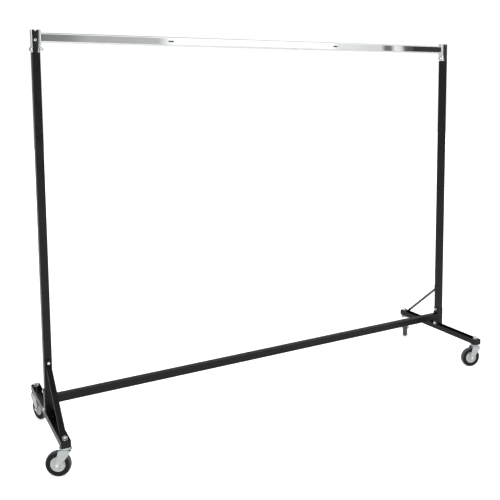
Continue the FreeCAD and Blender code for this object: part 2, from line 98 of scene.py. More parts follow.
class RackSizes(bpy.types.PropertyGroup):
    tube_corner: length("Tube corner", "Outside radius of the square tube's corners", 0.0025)
    tube_wall: length("Tube wall", "Wall of the square tube", 0.0016)
    cut_edge: length("Cut edge", "Rounding left by deburring on cut steel edges", 0.0004)
    cast_edge: length("Cast edge", "Rounding on the brackets' edges", 0.0008)
    pressed_edge: length("Pressed edge", "Rounding on the pressed forks' edges", 0.0011)
    bolt_flats: length("Bolt flats", "Across the flats of the frame's bolts and nuts", 0.013)
    bolt_radius: length("Bolt radius", "Radius of the frame's bolts", 0.004)
    bolt_head: length("Bolt head", "Height of the frame's bolt heads", 0.0055)
    bolt_pitch: length("Bolt pitch", "Thread pitch of the frame's bolts", 0.00125)
    brace_flats: length("Brace bolt flats", "Across the flats of the braces' bolts", 0.010)
    brace_radius: length("Brace bolt radius", "Radius of the braces' bolts", 0.003)
    brace_head: length("Brace bolt head", "Height of the braces' bolt heads", 0.004)
    brace_pitch: length("Brace bolt pitch", "Thread pitch of the braces' bolts", 0.001)
    axle_flats: length("Axle flats", "Across the flats of the wheels' axle bolts", 0.011)
    axle_head: length("Axle head", "Height of the axle bolts' heads", 0.003)
    screw_head: length("Screw head", "Height of the brackets' screw heads", 0.0025)
    joint_head: length("Joint screw head", "Height of the rail joints' screw heads", 0.0016)
    stem_radius: length("Stem radius", "Radius of the casters' stems", 0.006)
    collar_radius: length("Collar radius", "Radius of the collars on the stems", 0.0095)
    kingpin_head: length("Kingpin head", "Height of the head under each fork's crown", 0.0045)
    cap_thickness: length("Cap thickness", "Thickness of the swivel caps", 0.0026)
    cap_wall: length("Cap wall", "Wall of the swivel caps' lips", 0.0018)
    stem_pitch: length("Stem pitch", "Thread pitch of the casters' stems", 0.00175)
    stem_flats: length("Stem nut flats", "Across the flats of the nuts on the stems", 0.018)
    bead_radius: length("Weld bead", "Radius of a weld bead", 0.0026)
    bead_ripple: length("Weld ripple", "Distance between the ripples of a weld bead", 0.0017)
    ball_radius: length("Ball radius", "Radius of the casters' swivel balls", 0.0022)
    hub_radius: length("Hub radius", "Radius of the raised boss of a wheel", 0.013)
    bushing_radius: length("Bushing radius", "Radius of the bushing in a wheel", 0.007)
    ball_count: bpy.props.IntProperty(name="Balls", description="Balls in each caster's swivel ring",
                                      default=18, min=6, max=24)


class RackColours(bpy.types.PropertyGroup):
    enamel: colour("Stove enamel", "Black enamel of the frame", "#0a0a0b")
    chrome: colour("Chrome plate", "Plate on the rail and its brackets", "#e3e5e6")
    zinc: colour("Bright zinc", "Plate on the bolts, nuts and washers", "#e2e4e5")
    fork: colour("Fork zinc", "Plate on the pressed forks and swivel caps", "#b6b8b9")
    steel: colour("Bearing steel", "Greased steel of balls and bushings", "#8f9193")
    screw: colour("Dark screw", "Plate on the rail's joint screws", "#4d4e50")
    hub: colour("Hub plastic", "Moulded wheel centres", "#b4b5b4")
    tyre: colour("Tyre rubber", "Sides of the tyres", "#151617")
    # The tread colour is painted light: the tread face, lit by the lamps, is painted paler than the sides.
    tread: colour("Tread painted lit", "Tread rubber painted paler, as where lamps light it", "#4c4d50")


class RackStage(bpy.types.PropertyGroup):
    paper: colour("Studio floor", "Paper that the rack stands on", "#fdfdfc")
    lens: bpy.props.FloatProperty(name="Lens", description="Focal length", default=48.89, min=10.0,
                                  subtype="DISTANCE_CAMERA")
    eye: bpy.props.FloatVectorProperty(name="Eye", description="Where the camera stands",
                                       default=(-1.6017, -2.7596, 1.4322), size=3,
                                       subtype="TRANSLATION", unit="LENGTH")
    turn: bpy.props.FloatVectorProperty(name="Turn", description="The camera's pitch, roll and yaw",
                                        default=(math.radians(90 - 5.561), math.radians(-0.497),
                                                 math.radians(-28.256)),
                                        size=3, subtype="EULER", unit="ROTATION")
    shift: bpy.props.FloatProperty(name="Shift", description="Vertical shift of the lens", default=-0.18)


# ---------------------------------------------------------------- node helper and finishes


def add(tree, kind, inputs=None, **settings):
    """Add a node to a tree, with its own settings, and set or link its inputs by name or place."""
    node = tree.nodes.new(kind)
    for name, value in settings.items():
        setattr(node, name, value)
    for key, value in (inputs or {}).items():
        if isinstance(value, bpy.types.NodeSocket):
            tree.links.new(value, node.inputs[key])
        else:
            node.inputs[key].default_value = value
    return node


def per_metre(millimetres):
    """The texture scale whose features are that many millimetres across."""
    return 1000 / millimetres


def rgba(colour_value, gain=1.0):
    return tuple(min(1.0, c * gain) for c in colour_value) + (1.0,)


def blank_finish(name):
    """A new material with its shader and the object's own coordinates."""
    material = bpy.data.materials.new(name)
    material.use_nodes = True
    tree = material.node_tree
    shader = tree.nodes["Principled BSDF"]
    place = add(tree, "ShaderNodeTexCoord").outputs["Object"]
    return material, tree, shader, place


def grain(tree, place, size, stretch=(1, 1, 1), detail=3.0, rough=0.55):
    """Noise of a real size in millimetres, drawn out along an axis where stretch is under 1."""
    spot = add(tree, "ShaderNodeMapping", {"Vector": place, "Scale": stretch})
    noise = add(tree, "ShaderNodeTexNoise", {"Vector": spot.outputs[0], "Scale": per_metre(size),
                                             "Detail": detail, "Roughness": rough})
    return noise.outputs["Fac"]


def between(tree, factor, low, high, start=0.35, end=0.65):
    """Map a texture's middle range onto the range from low to high."""
    node = add(tree, "ShaderNodeMapRange", {"Value": factor, "From Min": start, "From Max": end,
                                            "To Min": low, "To Max": high})
    return node.outputs[0]


def tint(tree, factor, first, second):
    return add(tree, "ShaderNodeMix", {0: factor, 6: first, 7: second}, data_type="RGBA").outputs[2]


def raise_grain(tree, shader, heights):
    """Chain bump nodes, each from a (height, depth in millimetres) pair, onto the shader."""
    below = None
    for height, depth in heights:
        inputs = {"Height": height, "Distance": depth / 1000, "Strength": 1.0}
        if below is not None:
            inputs["Normal"] = below
        below = add(tree, "ShaderNodeBump", inputs).outputs[0]
    tree.links.new(below, shader.inputs["Normal"])


def stove_enamel(colours):
    """Black enamel baked on mild steel: a glossy skin with orange peel and a little dust."""
    material, tree, shader, place = blank_finish("black stove enamel on mild steel")
    # Slow changes in the black, as the coat runs thicker and thinner.
    cloud = between(tree, grain(tree, place, 60), 0, 1)
    # Fine pale specks of dust caught in the coat.
    dust = between(tree, grain(tree, place, 1.6, detail=1.0), 0, 1, 0.66, 0.72)
    coat = tint(tree, cloud, rgba(colours.enamel, 0.75), rgba(colours.enamel, 1.35))
    speck = tint(tree, dust, coat, rgba(linear("#232324")))
    tree.links.new(speck, shader.inputs["Base Color"])
    # The sheen is broken by handling: smoother and duller patches a few centimetres long.
    sheen = between(tree, grain(tree, place, 35, detail=5.0), 0.27, 0.40)
    tree.links.new(sheen, shader.inputs["Roughness"])
    shader.inputs["Specular IOR Level"].default_value = 0.22
    # Orange peel about 2 mm across, which gives long reflections their slightly wavy edge.
    peel = grain(tree, place, 2.2, detail=1.0)
    fine = grain(tree, place, 0.5, detail=2.0)
    raise_grain(tree, shader, [(peel, 0.018), (fine, 0.003)])
    return material


def chrome_plate(colours):
    """Bright chrome over polished steel, with faint lengthwise polishing lines."""
    material, tree, shader, place = blank_finish("bright chrome on polished steel")
    shader.inputs["Metallic"].default_value = 1.0
    # A very slight warm and cool drift in the plate.
    drift = between(tree, grain(tree, place, 90), 0, 1)
    tree.links.new(tint(tree, drift, rgba(colours.chrome), rgba(colours.chrome, 0.94)),
                   shader.inputs["Base Color"])
    # Polishing lines run along the rail; finger marks dull the plate here and there.
    lines = grain(tree, place, 0.35, stretch=(0.012, 1, 1), detail=2.0)
    marks = between(tree, grain(tree, place, 26, detail=4.0), 0.0, 0.03, 0.5, 0.75)
    gloss = add(tree, "ShaderNodeMath", {0: between(tree, lines, 0.012, 0.03), 1: marks}, operation="ADD")
    tree.links.new(gloss.outputs[0], shader.inputs["Roughness"])
    wave = grain(tree, place, 24, detail=1.0)
    raise_grain(tree, shader, [(wave, 0.004), (lines, 0.0001)])
    return material


def zinc_plate(name, base, low, high):
    """Electroplated zinc: bright, with a mottled bluish bloom and small dull spots."""
    material, tree, shader, place = blank_finish(name)
    shader.inputs["Metallic"].default_value = 1.0
    # The passivated bloom, blotches a few millimetres across.
    bloom = between(tree, grain(tree, place, 5, detail=4.0), 0, 1)
    # Handling film, larger and softer.
    film = between(tree, grain(tree, place, 18), 0, 1)
    first = tint(tree, bloom, rgba(base, 0.86), rgba(base, 1.06))
    tree.links.new(tint(tree, film, first, rgba([base[0] * 0.97, base[1], base[2] * 1.03])),
                   shader.inputs["Base Color"])
    tree.links.new(between(tree, bloom, low, high, 0, 1), shader.inputs["Roughness"])
    # Rolled steel's fine texture still shows through the thin plate.
    raise_grain(tree, shader, [(grain(tree, place, 2.5, detail=2.0), 0.006)])
    return material


def bright_zinc(colours):
    return zinc_plate("bright zinc on turned steel", colours.zinc, 0.16, 0.30)


def fork_zinc(colours):
    return zinc_plate("satin zinc on pressed steel", colours.fork, 0.20, 0.34)


def bearing_steel(colours):
    """Hardened steel under a film of brown grease."""
    material, tree, shader, place = blank_finish("greased bearing steel")
    shader.inputs["Metallic"].default_value = 1.0
    grease = between(tree, grain(tree, place, 3, detail=3.0), 0, 1, 0.45, 0.6)
    tree.links.new(tint(tree, grease, rgba(colours.steel), rgba(linear("#5b5040"))),
                   shader.inputs["Base Color"])
    tree.links.new(between(tree, grease, 0.14, 0.42, 0, 1), shader.inputs["Roughness"])
    return material


def dark_zinc(colours):
    """Dark passivated screws with brighter metal where a driver has rubbed."""
    material, tree, shader, place = blank_finish("dark zinc on small screws")
    shader.inputs["Metallic"].default_value = 0.9
    rub = between(tree, grain(tree, place, 1.2, detail=3.0), 0, 1, 0.52, 0.64)
    tree.links.new(tint(tree, rub, rgba(colours.screw), rgba(linear("#8b8c8e"))),
                   shader.inputs["Base Color"])
    tree.links.new(between(tree, rub, 0.45, 0.26, 0, 1), shader.inputs["Roughness"])
    return material


def hub_plastic(colours):
    """Moulded nylon with a satin spark texture and a trace of floor dust."""
    material, tree, shader, place = blank_finish("moulded grey nylon")
    dust = between(tree, grain(tree, place, 14, detail=5.0), 0, 1, 0.42, 0.7)
    tree.links.new(tint(tree, dust, rgba(colours.hub), rgba(colours.hub, 0.82)), shader.inputs["Base Color"])
    tree.links.new(between(tree, dust, 0.38, 0.56, 0, 1), shader.inputs["Roughness"])
    shader.inputs["Subsurface Weight"].default_value = 0.06
    shader.inputs["Subsurface Radius"].default_value = (0.002, 0.002, 0.002)
    # Spark-eroded mould texture about half a millimetre across.
    raise_grain(tree, shader, [(grain(tree, place, 0.5, detail=2.0), 0.012)])
    return material


def tyre_rubber(colours):
    """Grey rubber, scuffed all over, with matt sides and a tread band painted paler: a painted highlight
    where light falls on the tread.
    """
    material, tree, shader, place = blank_finish("scuffed grey rubber with painted lit tread")
    # The tread attribute is 1 on the rolling band and 0 on the sides.
    band = add(tree, "ShaderNodeAttribute", attribute_name="tread").outputs["Fac"]
    scuff = between(tree, grain(tree, place, 4, detail=6.0, rough=0.7), 0.0, 1.0, 0.38, 0.62)
    side = tint(tree, scuff, rgba(colours.tyre, 0.86), rgba(colours.tyre, 1.12))
    # The tread band's paler colour is painted light: the face the lamps light is painted lighter than the
    # sides.
    painted_lit_tread = tint(tree, scuff, rgba(colours.tread, 0.82), rgba(colours.tread, 1.12))
    tree.links.new(tint(tree, band, side, painted_lit_tread), shader.inputs["Base Color"])
    tree.links.new(between(tree, scuff, 0.62, 0.8, 0, 1), shader.inputs["Roughness"])
    shader.inputs["Specular IOR Level"].default_value = 0.18
    # Fine pits left by grit, deeper than the rubber's own moulded grain.
    pits = grain(tree, place, 1.1, detail=4.0, rough=0.65)
    raise_grain(tree, shader, [(grain(tree, place, 0.35), 0.012), (pits, 0.05)])
    return material


def floor_paper(colours):
    """White studio paper with a barely visible fibre."""
    material, tree, shader, place = blank_finish("white studio paper")
    fibre = between(tree, grain(tree, place, 12, detail=4.0), 0, 1)
    paper = bpy.context.scene.rack_stage.paper
    eye = add(tree, "ShaderNodeLightPath").outputs["Is Camera Ray"]
    lit = tint(tree, fibre, rgba(paper), rgba(paper, 0.985))
    tree.links.new(lit, shader.inputs["Base Color"])
    shader.inputs["Roughness"].default_value = 0.9
    shader.inputs["Specular IOR Level"].default_value = 0.0
    # The studio is exposed so that the paper just reaches white to the eye; reflected, it is a little duller.
    shader.inputs["Emission Color"].default_value = (1.0, 1.0, 1.0, 1.0)
    # Farther out, beyond the lamps' reach, the paper is lifted more so that it stays one even white.
    away = add(tree, "ShaderNodeVectorMath", {0: place}, operation="LENGTH")
    far = between(tree, away.outputs["Value"], 0.46, 1.0, 2.0, 6.0)
    tree.links.new(between(tree, eye, 0.04, far, 0.0, 1.0), shader.inputs["Emission Strength"])
    return material


FINISHES = {
    "black_frame": stove_enamel,
    "chrome_trim": chrome_plate,
    "bright_zinc": bright_zinc,
    "caster_zinc": fork_zinc,
    "bearing_steel": bearing_steel,
    "dark_screw": dark_zinc,
    "hub_grey": hub_plastic,
    "tyre_rubber": tyre_rubber,
    "floor": floor_paper,
}
made_finishes = {}


def finish_of(slot):
    """The material for a slot, made the first time it is asked for."""
    if slot not in made_finishes:
        made_finishes[slot] = FINISHES[slot](bpy.context.scene.rack_colours)
    return made_finishes[slot]


# ---------------------------------------------------------------- mesh helpers


def loft(rings, closed=False):
    """Faces between rings of points, as a bmesh; capped at both ends unless the rings close up."""
    shape = bmesh.new()
    rows = [[shape.verts.new(p) for p in ring] for ring in rings]
    count = len(rings[0])
    pairs = list(zip(rows, rows[1:]))
    if closed:
        pairs.append((rows[-1], rows[0]))
    for lower, upper in pairs:
        for i in range(count):
            j = (i + 1) % count
            shape.faces.new((lower[i], lower[j], upper[j], upper[i]))
    if not closed:
        shape.faces.new(rows[0][::-1])
        shape.faces.new(rows[-1])
    bmesh.ops.remove_doubles(shape, verts=shape.verts, dist=1e-7)
    bmesh.ops.recalc_face_normals(shape, faces=shape.faces)
    return shape


def rounded(outline, radius, steps=3):
    """A closed outline of (across, along) points with each corner turned into a small arc."""
    result = []
    count = len(outline)
    for i in range(count):
        corner = Vector(outline[i])
        before = Vector(outline[i - 1]) - corner
        after = Vector(outline[(i + 1) % count]) - corner
        reach = min(radius, before.length * 0.45, after.length * 0.45)
        start = corner + before.normalized() * reach
        end = corner + after.normalized() * reach
        for k in range(steps + 1):
            t = k / steps
            result.append(tuple(start * (1 - t) ** 2 + corner * 2 * t * (1 - t) + end * t ** 2))
    return result


def ring_at(reach, height, segments):
    """Points about +Z, each as far out and as high as reach and height say for its angle."""
    turns = [2 * math.pi * i / segments for i in range(segments)]
    return [(reach(a) * math.cos(a), reach(a) * math.sin(a), height(a)) for a in turns]


def circle(radius, height, segments=36):
    return ring_at(lambda a: radius, lambda a: height, segments)


def lathe(outline, segments=64):
    """A closed outline of (radius, height) points turned about +Z."""
    return loft([circle(radius, height, segments) for radius, height in outline], closed=True)


def hex_rings(flats, low, high, bevelled_top, segments=36):
    """Rings of a hexagonal block, its corners turned off by a 30 degree cone below and, if asked, above."""
    inner = flats * 0.47

    def side(a):
        return flats / 2 / math.cos((a + math.pi / 6) % (math.pi / 3) - math.pi / 6)

    def cut(a):
        return (side(a) - inner) * math.tan(math.radians(30))

    rings = [circle(inner, low, segments), ring_at(side, lambda a: low + cut(a), segments)]
    if bevelled_top:
        rings += [ring_at(side, lambda a: high - cut(a), segments), circle(inner, high, segments)]
    else:
        rings.append(ring_at(side, lambda a: high, segments))
    return rings


def thread_rings(radius, pitch, low, high, segments=36):
    """Rings of a screw thread from low to high, with its end chamfered."""
    depth = pitch * 0.54
    steps = max(4, round((high - low) / pitch * 8))
    rings = []
    for k in range(steps + 1):
        z = low + (high - low) * k / steps
        ring = []
        for i in range(segments):
            a = 2 * math.pi * i / segments
            phase = (z / pitch - i / segments) % 1
            groove = depth * (1 - abs(2 * phase - 1)) ** 1.2
            reach = min(radius - groove, radius - depth + max(0.0, high - z) * 1.2)
            ring.append((reach * math.cos(a), reach * math.sin(a), z))
        rings.append(ring)
    return rings


def hex_bolt(flats, head, radius, pitch, shank, threaded):
    """A hex bolt with its head under z = 0 and its shank along +Z, threaded at its end."""
    rings = hex_rings(flats, -head, -head * 0.06, False)
    rings += [circle(flats * 0.46, -head * 0.06), circle(flats * 0.46, 0), circle(radius * 0.995, 0),
              circle(radius * 0.995, shank - threaded)]
    rings += thread_rings(radius, pitch, shank - threaded, shank)
    return loft(rings)


def hex_nut(flats, height, bore):
    """A hex nut from z = 0 up, chamfered at both faces and around its bore."""
    rings = hex_rings(flats, 0, height, True)
    for share, z in ((1.12, height), (1, height - bore * 0.12), (1, bore * 0.12), (1.12, 0)):
        rings.append(circle(bore * share, z))
    return loft(rings, closed=True)


def flat_ring(outer, inner, low, high, edge):
    """A washer or spacer with its edges slightly rolled."""
    return lathe(rounded([(inner, low), (outer, low), (outer, high), (inner, high)], edge), 48)


def mesh_from(shape, name):
    mesh = bpy.data.meshes.new(name)
    shape.to_mesh(mesh)
    shape.free()
    return mesh


def node_shape(node):
    """A CAD node's mesh with its loose triangles joined."""
    shape = bmesh.new()
    shape.from_mesh(frame["nodes"][node].data)
    bmesh.ops.remove_doubles(shape, verts=shape.verts, dist=WELD_DISTANCE)
    return shape


def clean_copy(node):
    """A CAD node's mesh with its flat faces made whole."""
    shape = node_shape(node)
    bmesh.ops.dissolve_limit(shape, angle_limit=FLAT_ANGLE, verts=shape.verts, edges=shape.edges,
                             delimit=set())
    return shape


def solids_of(node):
    """The (lowest corner, highest corner) of every separate solid in a CAD node."""
    shape = node_shape(node)
    waiting = set(shape.verts)
    boxes = []
    while waiting:
        stack = [waiting.pop()]
        found = []
        while stack:
            vert = stack.pop()
            found.append(vert.co.copy())
            for edge in vert.link_edges:
                other = edge.other_vert(vert)
                if other in waiting:
                    waiting.remove(other)
                    stack.append(other)
        low = Vector([min(p[k] for p in found) for k in range(3)])
        high = Vector([max(p[k] for p in found) for k in range(3)])
        boxes.append((low, high))
    shape.free()
    return sorted(boxes, key=lambda b: (round(b[0].x, 4), round(b[0].y, 4), round(b[0].z, 4)))


def apply_modifiers(obj):
    """Turn an object's evaluated shape into its own plain mesh and drop its modifiers."""
    graph = bpy.context.evaluated_depsgraph_get()
    result = bpy.data.meshes.new_from_object(obj.evaluated_get(graph), preserve_all_data_layers=True,
                                             depsgraph=graph)
    obj.modifiers.clear()
    obj.data = result
    return result


def scene_object(name, data):
    obj = bpy.data.objects.new(name, data)
    bpy.context.scene.collection.objects.link(obj)
    return obj


def polish(obj, edge=0.0, segments=2):
    """Round an object's edges and weight its normals so that its flat faces stay flat."""
    if edge > 0:
        obj.modifiers.new("edge", "BEVEL")
        bevel = obj.modifiers["edge"]
        bevel.width = edge
        bevel.segments = segments
        bevel.limit_method = "ANGLE"
        bevel.angle_limit = EDGE_ANGLE
        bevel.use_clamp_overlap = True
    mesh = apply_modifiers(obj)
    mesh.polygons.foreach_set("use_smooth", [True] * len(mesh.polygons))
    mesh.set_sharp_from_angle(angle=SHARP_ANGLE)
    weighted = obj.modifiers.new("normals", "WEIGHTED_NORMAL")
    weighted.keep_sharp = True
    apply_modifiers(obj)


def put(obj, slot, body, nodes):
    """Give a finished piece its finish, its body and the CAD nodes that it stands for."""
    obj.data.materials.clear()
    obj.data.materials.append(finish_of(slot))
    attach(obj, body)
    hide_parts(*nodes)


def piece(name, shape, slot, body, node, edge=0.0, segments=2):
    """A finished piece from a bmesh, in place of one CAD node."""
    obj = scene_object(name, mesh_from(shape, name))
    polish(obj, edge, segments)
    put(obj, slot, body, [node])


def node_piece(name, node, slot, edge, body="frame", segments=2):
    """A finished piece that follows its CAD node's own mesh, with its edges rounded."""
    piece(name, clean_copy(node), slot, body, node, edge, segments)


# ---------------------------------------------------------------- geometry node trees


def new_tree(name, sockets):
    """An empty Geometry Nodes tree with named inputs, its input node and its geometry output."""
    tree = bpy.data.node_groups.new(name, "GeometryNodeTree")
    tree.interface.new_socket("Geometry", in_out="INPUT", socket_type="NodeSocketGeometry")
    for label, kind, default in sockets:
        item = tree.interface.new_socket(label, in_out="INPUT", socket_type=kind)
        if default is not None:
            item.default_value = default
    tree.interface.new_socket("Geometry", in_out="OUTPUT", socket_type="NodeSocketGeometry")
    return tree, add(tree, "NodeGroupInput").outputs


def close_tree(tree, geometry, material):
    """Finish a tree: real geometry with its material set."""
    real = add(tree, "GeometryNodeRealizeInstances", {"Geometry": geometry})
    dressed = add(tree, "GeometryNodeSetMaterial", {"Geometry": real.outputs[0], "Material": material})
    add(tree, "NodeGroupOutput", {"Geometry": dressed.outputs[0]})


def tube_tree():
    """A tube with a rounded rectangular section and a real wall, drawn along +Z."""
    tree, given = new_tree("rounded tube", [
        ("Width", "NodeSocketFloat", 0.02), ("Depth", "NodeSocketFloat", 0.02),
        ("Corner", "NodeSocketFloat", 0.002), ("Wall", "NodeSocketFloat", 0.0015),
        ("Low", "NodeSocketFloat", 0.0), ("High", "NodeSocketFloat", 1.0),
        ("Corner Steps", "NodeSocketInt", 6), ("Material", "NodeSocketMaterial", None)])
    walls = add(tree, "ShaderNodeMath", {0: given["Wall"], 1: 2.0}, operation="MULTIPLY").outputs[0]
    inner_width = add(tree, "ShaderNodeMath", {0: given["Width"], 1: walls}, operation="SUBTRACT")
    inner_depth = add(tree, "ShaderNodeMath", {0: given["Depth"], 1: walls}, operation="SUBTRACT")
    inner_corner = add(tree, "ShaderNodeMath", {0: given["Corner"], 1: given["Wall"]}, operation="SUBTRACT")
    outside = (given["Width"], given["Depth"], given["Corner"])
    inside = (inner_width.outputs[0], inner_depth.outputs[0], inner_corner.outputs[0])
    loops = []
    for width, depth, corner in (outside, inside):
        outline = add(tree, "GeometryNodeCurvePrimitiveQuadrilateral", {"Width": width, "Height": depth})
        loops.append(add(tree, "GeometryNodeFilletCurve",
                         {"Curve": outline.outputs[0], "Count": given["Corner Steps"], "Radius": corner},
                         mode="POLY").outputs[0])
    both = add(tree, "GeometryNodeJoinGeometry", {"Geometry": loops[0]})
    tree.links.new(loops[1], both.inputs[0])
    ring = add(tree, "GeometryNodeFillCurve", {"Curve": both.outputs[0]}, mode="TRIANGLES")
    run = add(tree, "ShaderNodeMath", {0: given["High"], 1: given["Low"]}, operation="SUBTRACT")
    along = add(tree, "ShaderNodeCombineXYZ", {"Z": run.outputs[0]})
    top = add(tree, "GeometryNodeExtrudeMesh", {"Mesh": ring.outputs[0], "Offset": along.outputs[0],
                                                "Offset Scale": 1.0, "Individual": False})
    bottom = add(tree, "GeometryNodeFlipFaces", {"Mesh": ring.outputs[0]})
    whole = add(tree, "GeometryNodeJoinGeometry", {"Geometry": top.outputs[0]})
    tree.links.new(bottom.outputs[0], whole.inputs[0])
    sealed = add(tree, "GeometryNodeMergeByDistance", {"Geometry": whole.outputs[0], "Distance": 1e-6})
    base = add(tree, "ShaderNodeCombineXYZ", {"Z": given["Low"]})
    placed = add(tree, "GeometryNodeTransform", {"Geometry": sealed.outputs[0],
                                                 "Translation": base.outputs[0]})
    close_tree(tree, placed.outputs[0], given["Material"])
    return tree


def row_tree():
    """One fastener at every point, aimed by the point's aim and spun by a seeded random angle."""
    tree, given = new_tree("fastener row", [
        ("Fastener", "NodeSocketObject", None), ("Spin", "NodeSocketFloat", 0.0),
        ("Seed", "NodeSocketInt", 7), ("Material", "NodeSocketMaterial", None)])
    points = add(tree, "GeometryNodeMeshToPoints", {"Mesh": given["Geometry"]})
    shape = add(tree, "GeometryNodeObjectInfo", {"Object": given["Fastener"]})
    aim = add(tree, "GeometryNodeInputNamedAttribute", {"Name": "aim"}, data_type="FLOAT_VECTOR")
    turned = add(tree, "FunctionNodeEulerToRotation", {"Euler": aim.outputs[0]})
    chance = add(tree, "FunctionNodeRandomValue", {2: 0.0, 3: given["Spin"], "Seed": given["Seed"]},
                 data_type="FLOAT")
    spin = add(tree, "ShaderNodeCombineXYZ", {"Z": chance.outputs[1]})
    spun = add(tree, "FunctionNodeEulerToRotation", {"Euler": spin.outputs[0]})
    both = add(tree, "FunctionNodeRotateRotation",
               {"Rotation": turned.outputs[0], "Rotate By": spun.outputs[0]}, rotation_space="LOCAL")
    placed = add(tree, "GeometryNodeInstanceOnPoints", {"Points": points.outputs[0],
                                                        "Instance": shape.outputs["Geometry"],
                                                        "Rotation": both.outputs[0]})
    close_tree(tree, placed.outputs[0], given["Material"])
    return tree


def bead_tree():
    """A weld bead along a curve, rippled at a steady spacing and a little uneven."""
    tree, given = new_tree("weld bead", [
        ("Radius", "NodeSocketFloat", 0.0026), ("Ripple", "NodeSocketFloat", 0.0017),
        ("Uneven", "NodeSocketFloat", 0.0005), ("Material", "NodeSocketMaterial", None)])
    line = add(tree, "GeometryNodeMeshToCurve", {"Mesh": given["Geometry"]})
    step = add(tree, "ShaderNodeMath", {0: given["Ripple"], 1: 0.2}, operation="MULTIPLY")
    fine = add(tree, "GeometryNodeResampleCurve", {"Curve": line.outputs[0], "Length": step.outputs[0]},
               mode="LENGTH")
    here = add(tree, "GeometryNodeSplineParameter")
    waves = add(tree, "ShaderNodeMath", {0: here.outputs["Length"], 1: given["Ripple"]}, operation="DIVIDE")
    phase = add(tree, "ShaderNodeMath", {0: waves.outputs[0]}, operation="FRACT")
    size = between(tree, phase.outputs[0], 0.84, 1.06, 0.0, 1.0)
    sized = add(tree, "GeometryNodeSetCurveRadius", {"Curve": fine.outputs[0], "Radius": size})
    section = add(tree, "GeometryNodeCurvePrimitiveCircle", {"Resolution": 14, "Radius": given["Radius"]})
    scale = add(tree, "GeometryNodeCurveToMesh",
                {"Curve": sized.outputs[0], "Profile Curve": section.outputs[0], "Scale": size,
                 "Fill Caps": True})
    noise = add(tree, "ShaderNodeTexNoise", {"Scale": per_metre(3.0), "Detail": 2.0})
    centred = add(tree, "ShaderNodeVectorMath", {0: noise.outputs["Color"], 1: (0.5, 0.5, 0.5)},
                  operation="SUBTRACT")
    push = add(tree, "ShaderNodeVectorMath", {0: centred.outputs[0], "Scale": given["Uneven"]},
               operation="SCALE")
    moved = add(tree, "GeometryNodeSetPosition", {"Geometry": scale.outputs[0], "Offset": push.outputs[0]})
    close_tree(tree, moved.outputs[0], given["Material"])
    return tree


def ball_tree():
    """A caged ring of balls at every point: the balls, and the wire cage that spaces them."""
    tree, given = new_tree("ball ring", [
        ("Balls", "NodeSocketInt", 18), ("Ring Radius", "NodeSocketFloat", 0.014),
        ("Ball Radius", "NodeSocketFloat", 0.0022), ("Material", "NodeSocketMaterial", None)])
    points = add(tree, "GeometryNodeMeshToPoints", {"Mesh": given["Geometry"]})
    loop = add(tree, "GeometryNodeMeshCircle", {"Vertices": given["Balls"], "Radius": given["Ring Radius"]})
    ball = add(tree, "GeometryNodeMeshIcoSphere", {"Radius": given["Ball Radius"], "Subdivisions": 3})
    balls = add(tree, "GeometryNodeInstanceOnPoints",
                {"Points": loop.outputs[0], "Instance": ball.outputs[0]})
    path = add(tree, "GeometryNodeCurvePrimitiveCircle", {"Resolution": 48, "Radius": given["Ring Radius"]})
    thin = add(tree, "ShaderNodeMath", {0: given["Ball Radius"], 1: 0.3}, operation="MULTIPLY")
    wire = add(tree, "GeometryNodeCurvePrimitiveCircle", {"Resolution": 8, "Radius": thin.outputs[0]})
    cage = add(tree, "GeometryNodeCurveToMesh",
               {"Curve": path.outputs[0], "Profile Curve": wire.outputs[0]})
    both = add(tree, "GeometryNodeJoinGeometry", {"Geometry": balls.outputs[0]})
    tree.links.new(cage.outputs[0], both.inputs[0])
    placed = add(tree, "GeometryNodeInstanceOnPoints",
                 {"Points": points.outputs[0], "Instance": both.outputs[0]})
    close_tree(tree, placed.outputs[0], given["Material"])
    return tree


TREES = {"tube": tube_tree, "row": row_tree, "bead": bead_tree, "balls": ball_tree}
made_trees = {}


def from_tree(name, kind, mesh, values):
    """An object whose mesh is what a tree makes from a starting mesh and named values."""
    if kind not in made_trees:
        made_trees[kind] = TREES[kind]()
    tree = made_trees[kind]
    obj = bpy.data.objects.new(name, mesh)
    modifier = obj.modifiers.new(kind, "NODES")
    modifier.node_group = tree
    for item in tree.interface.items_tree:
        if item.in_out == "INPUT" and item.name in values:
            modifier[item.identifier] = values[item.name]
    bpy.context.scene.collection.objects.link(obj)
    apply_modifiers(obj)
    return obj


def points_mesh(places):
    """A mesh of bare points from (place, direction) pairs; aim turns +Z to the direction."""
    mesh = bpy.data.meshes.new("places")
    mesh.from_pydata([tuple(place) for place, direction in places], [], [])
    aim = mesh.attributes.new("aim", "FLOAT_VECTOR", "POINT")
    turns = [Vector(direction).to_track_quat("Z", "X").to_euler() for place, direction in places]
    for i, turn in enumerate(turns):
        aim.data[i].vector = turn
    return mesh


def head_seat(box, axis, head, from_low):
    """The (place, direction) of a fastener in a box: a head's height in from one side, looking inward."""
    place = (box[0] + box[1]) / 2
    place[axis] = box[0][axis] + head if from_low else box[1][axis] - head
    direction = Vector((0, 0, 0))
    direction[axis] = 1 if from_low else -1
    return place, direction


def row(name, shape, places, slot, node, spin=0.0, seed=7):
    """A row of one fastener at (place, direction) pairs, as one finished piece of the frame."""
    pattern = scene_object(name + "_pattern", mesh_from(shape, name + "_pattern"))
    polish(pattern)
    obj = from_tree(name, "row", points_mesh(places),
                    {"Fastener": pattern, "Spin": spin, "Seed": seed, "Material": finish_of(slot)})
    bpy.data.objects.remove(pattern)
    put(obj, slot, "frame", [node])


def washer_row(name, node, slot, sizes):
    """The washers along X in a CAD node, as one finished piece."""
    rings = [b for b in solids_of(node) if b[1].x - b[0].x < LONGEST_WASHER]
    low, high = rings[0]
    shape = flat_ring((high.z - low.z) / 2, sizes.bolt_radius * 1.05, 0, high.x - low.x, WASHER_EDGE)
    row(name, shape, [head_seat(box, 0, 0, True) for box in rings], slot, node)


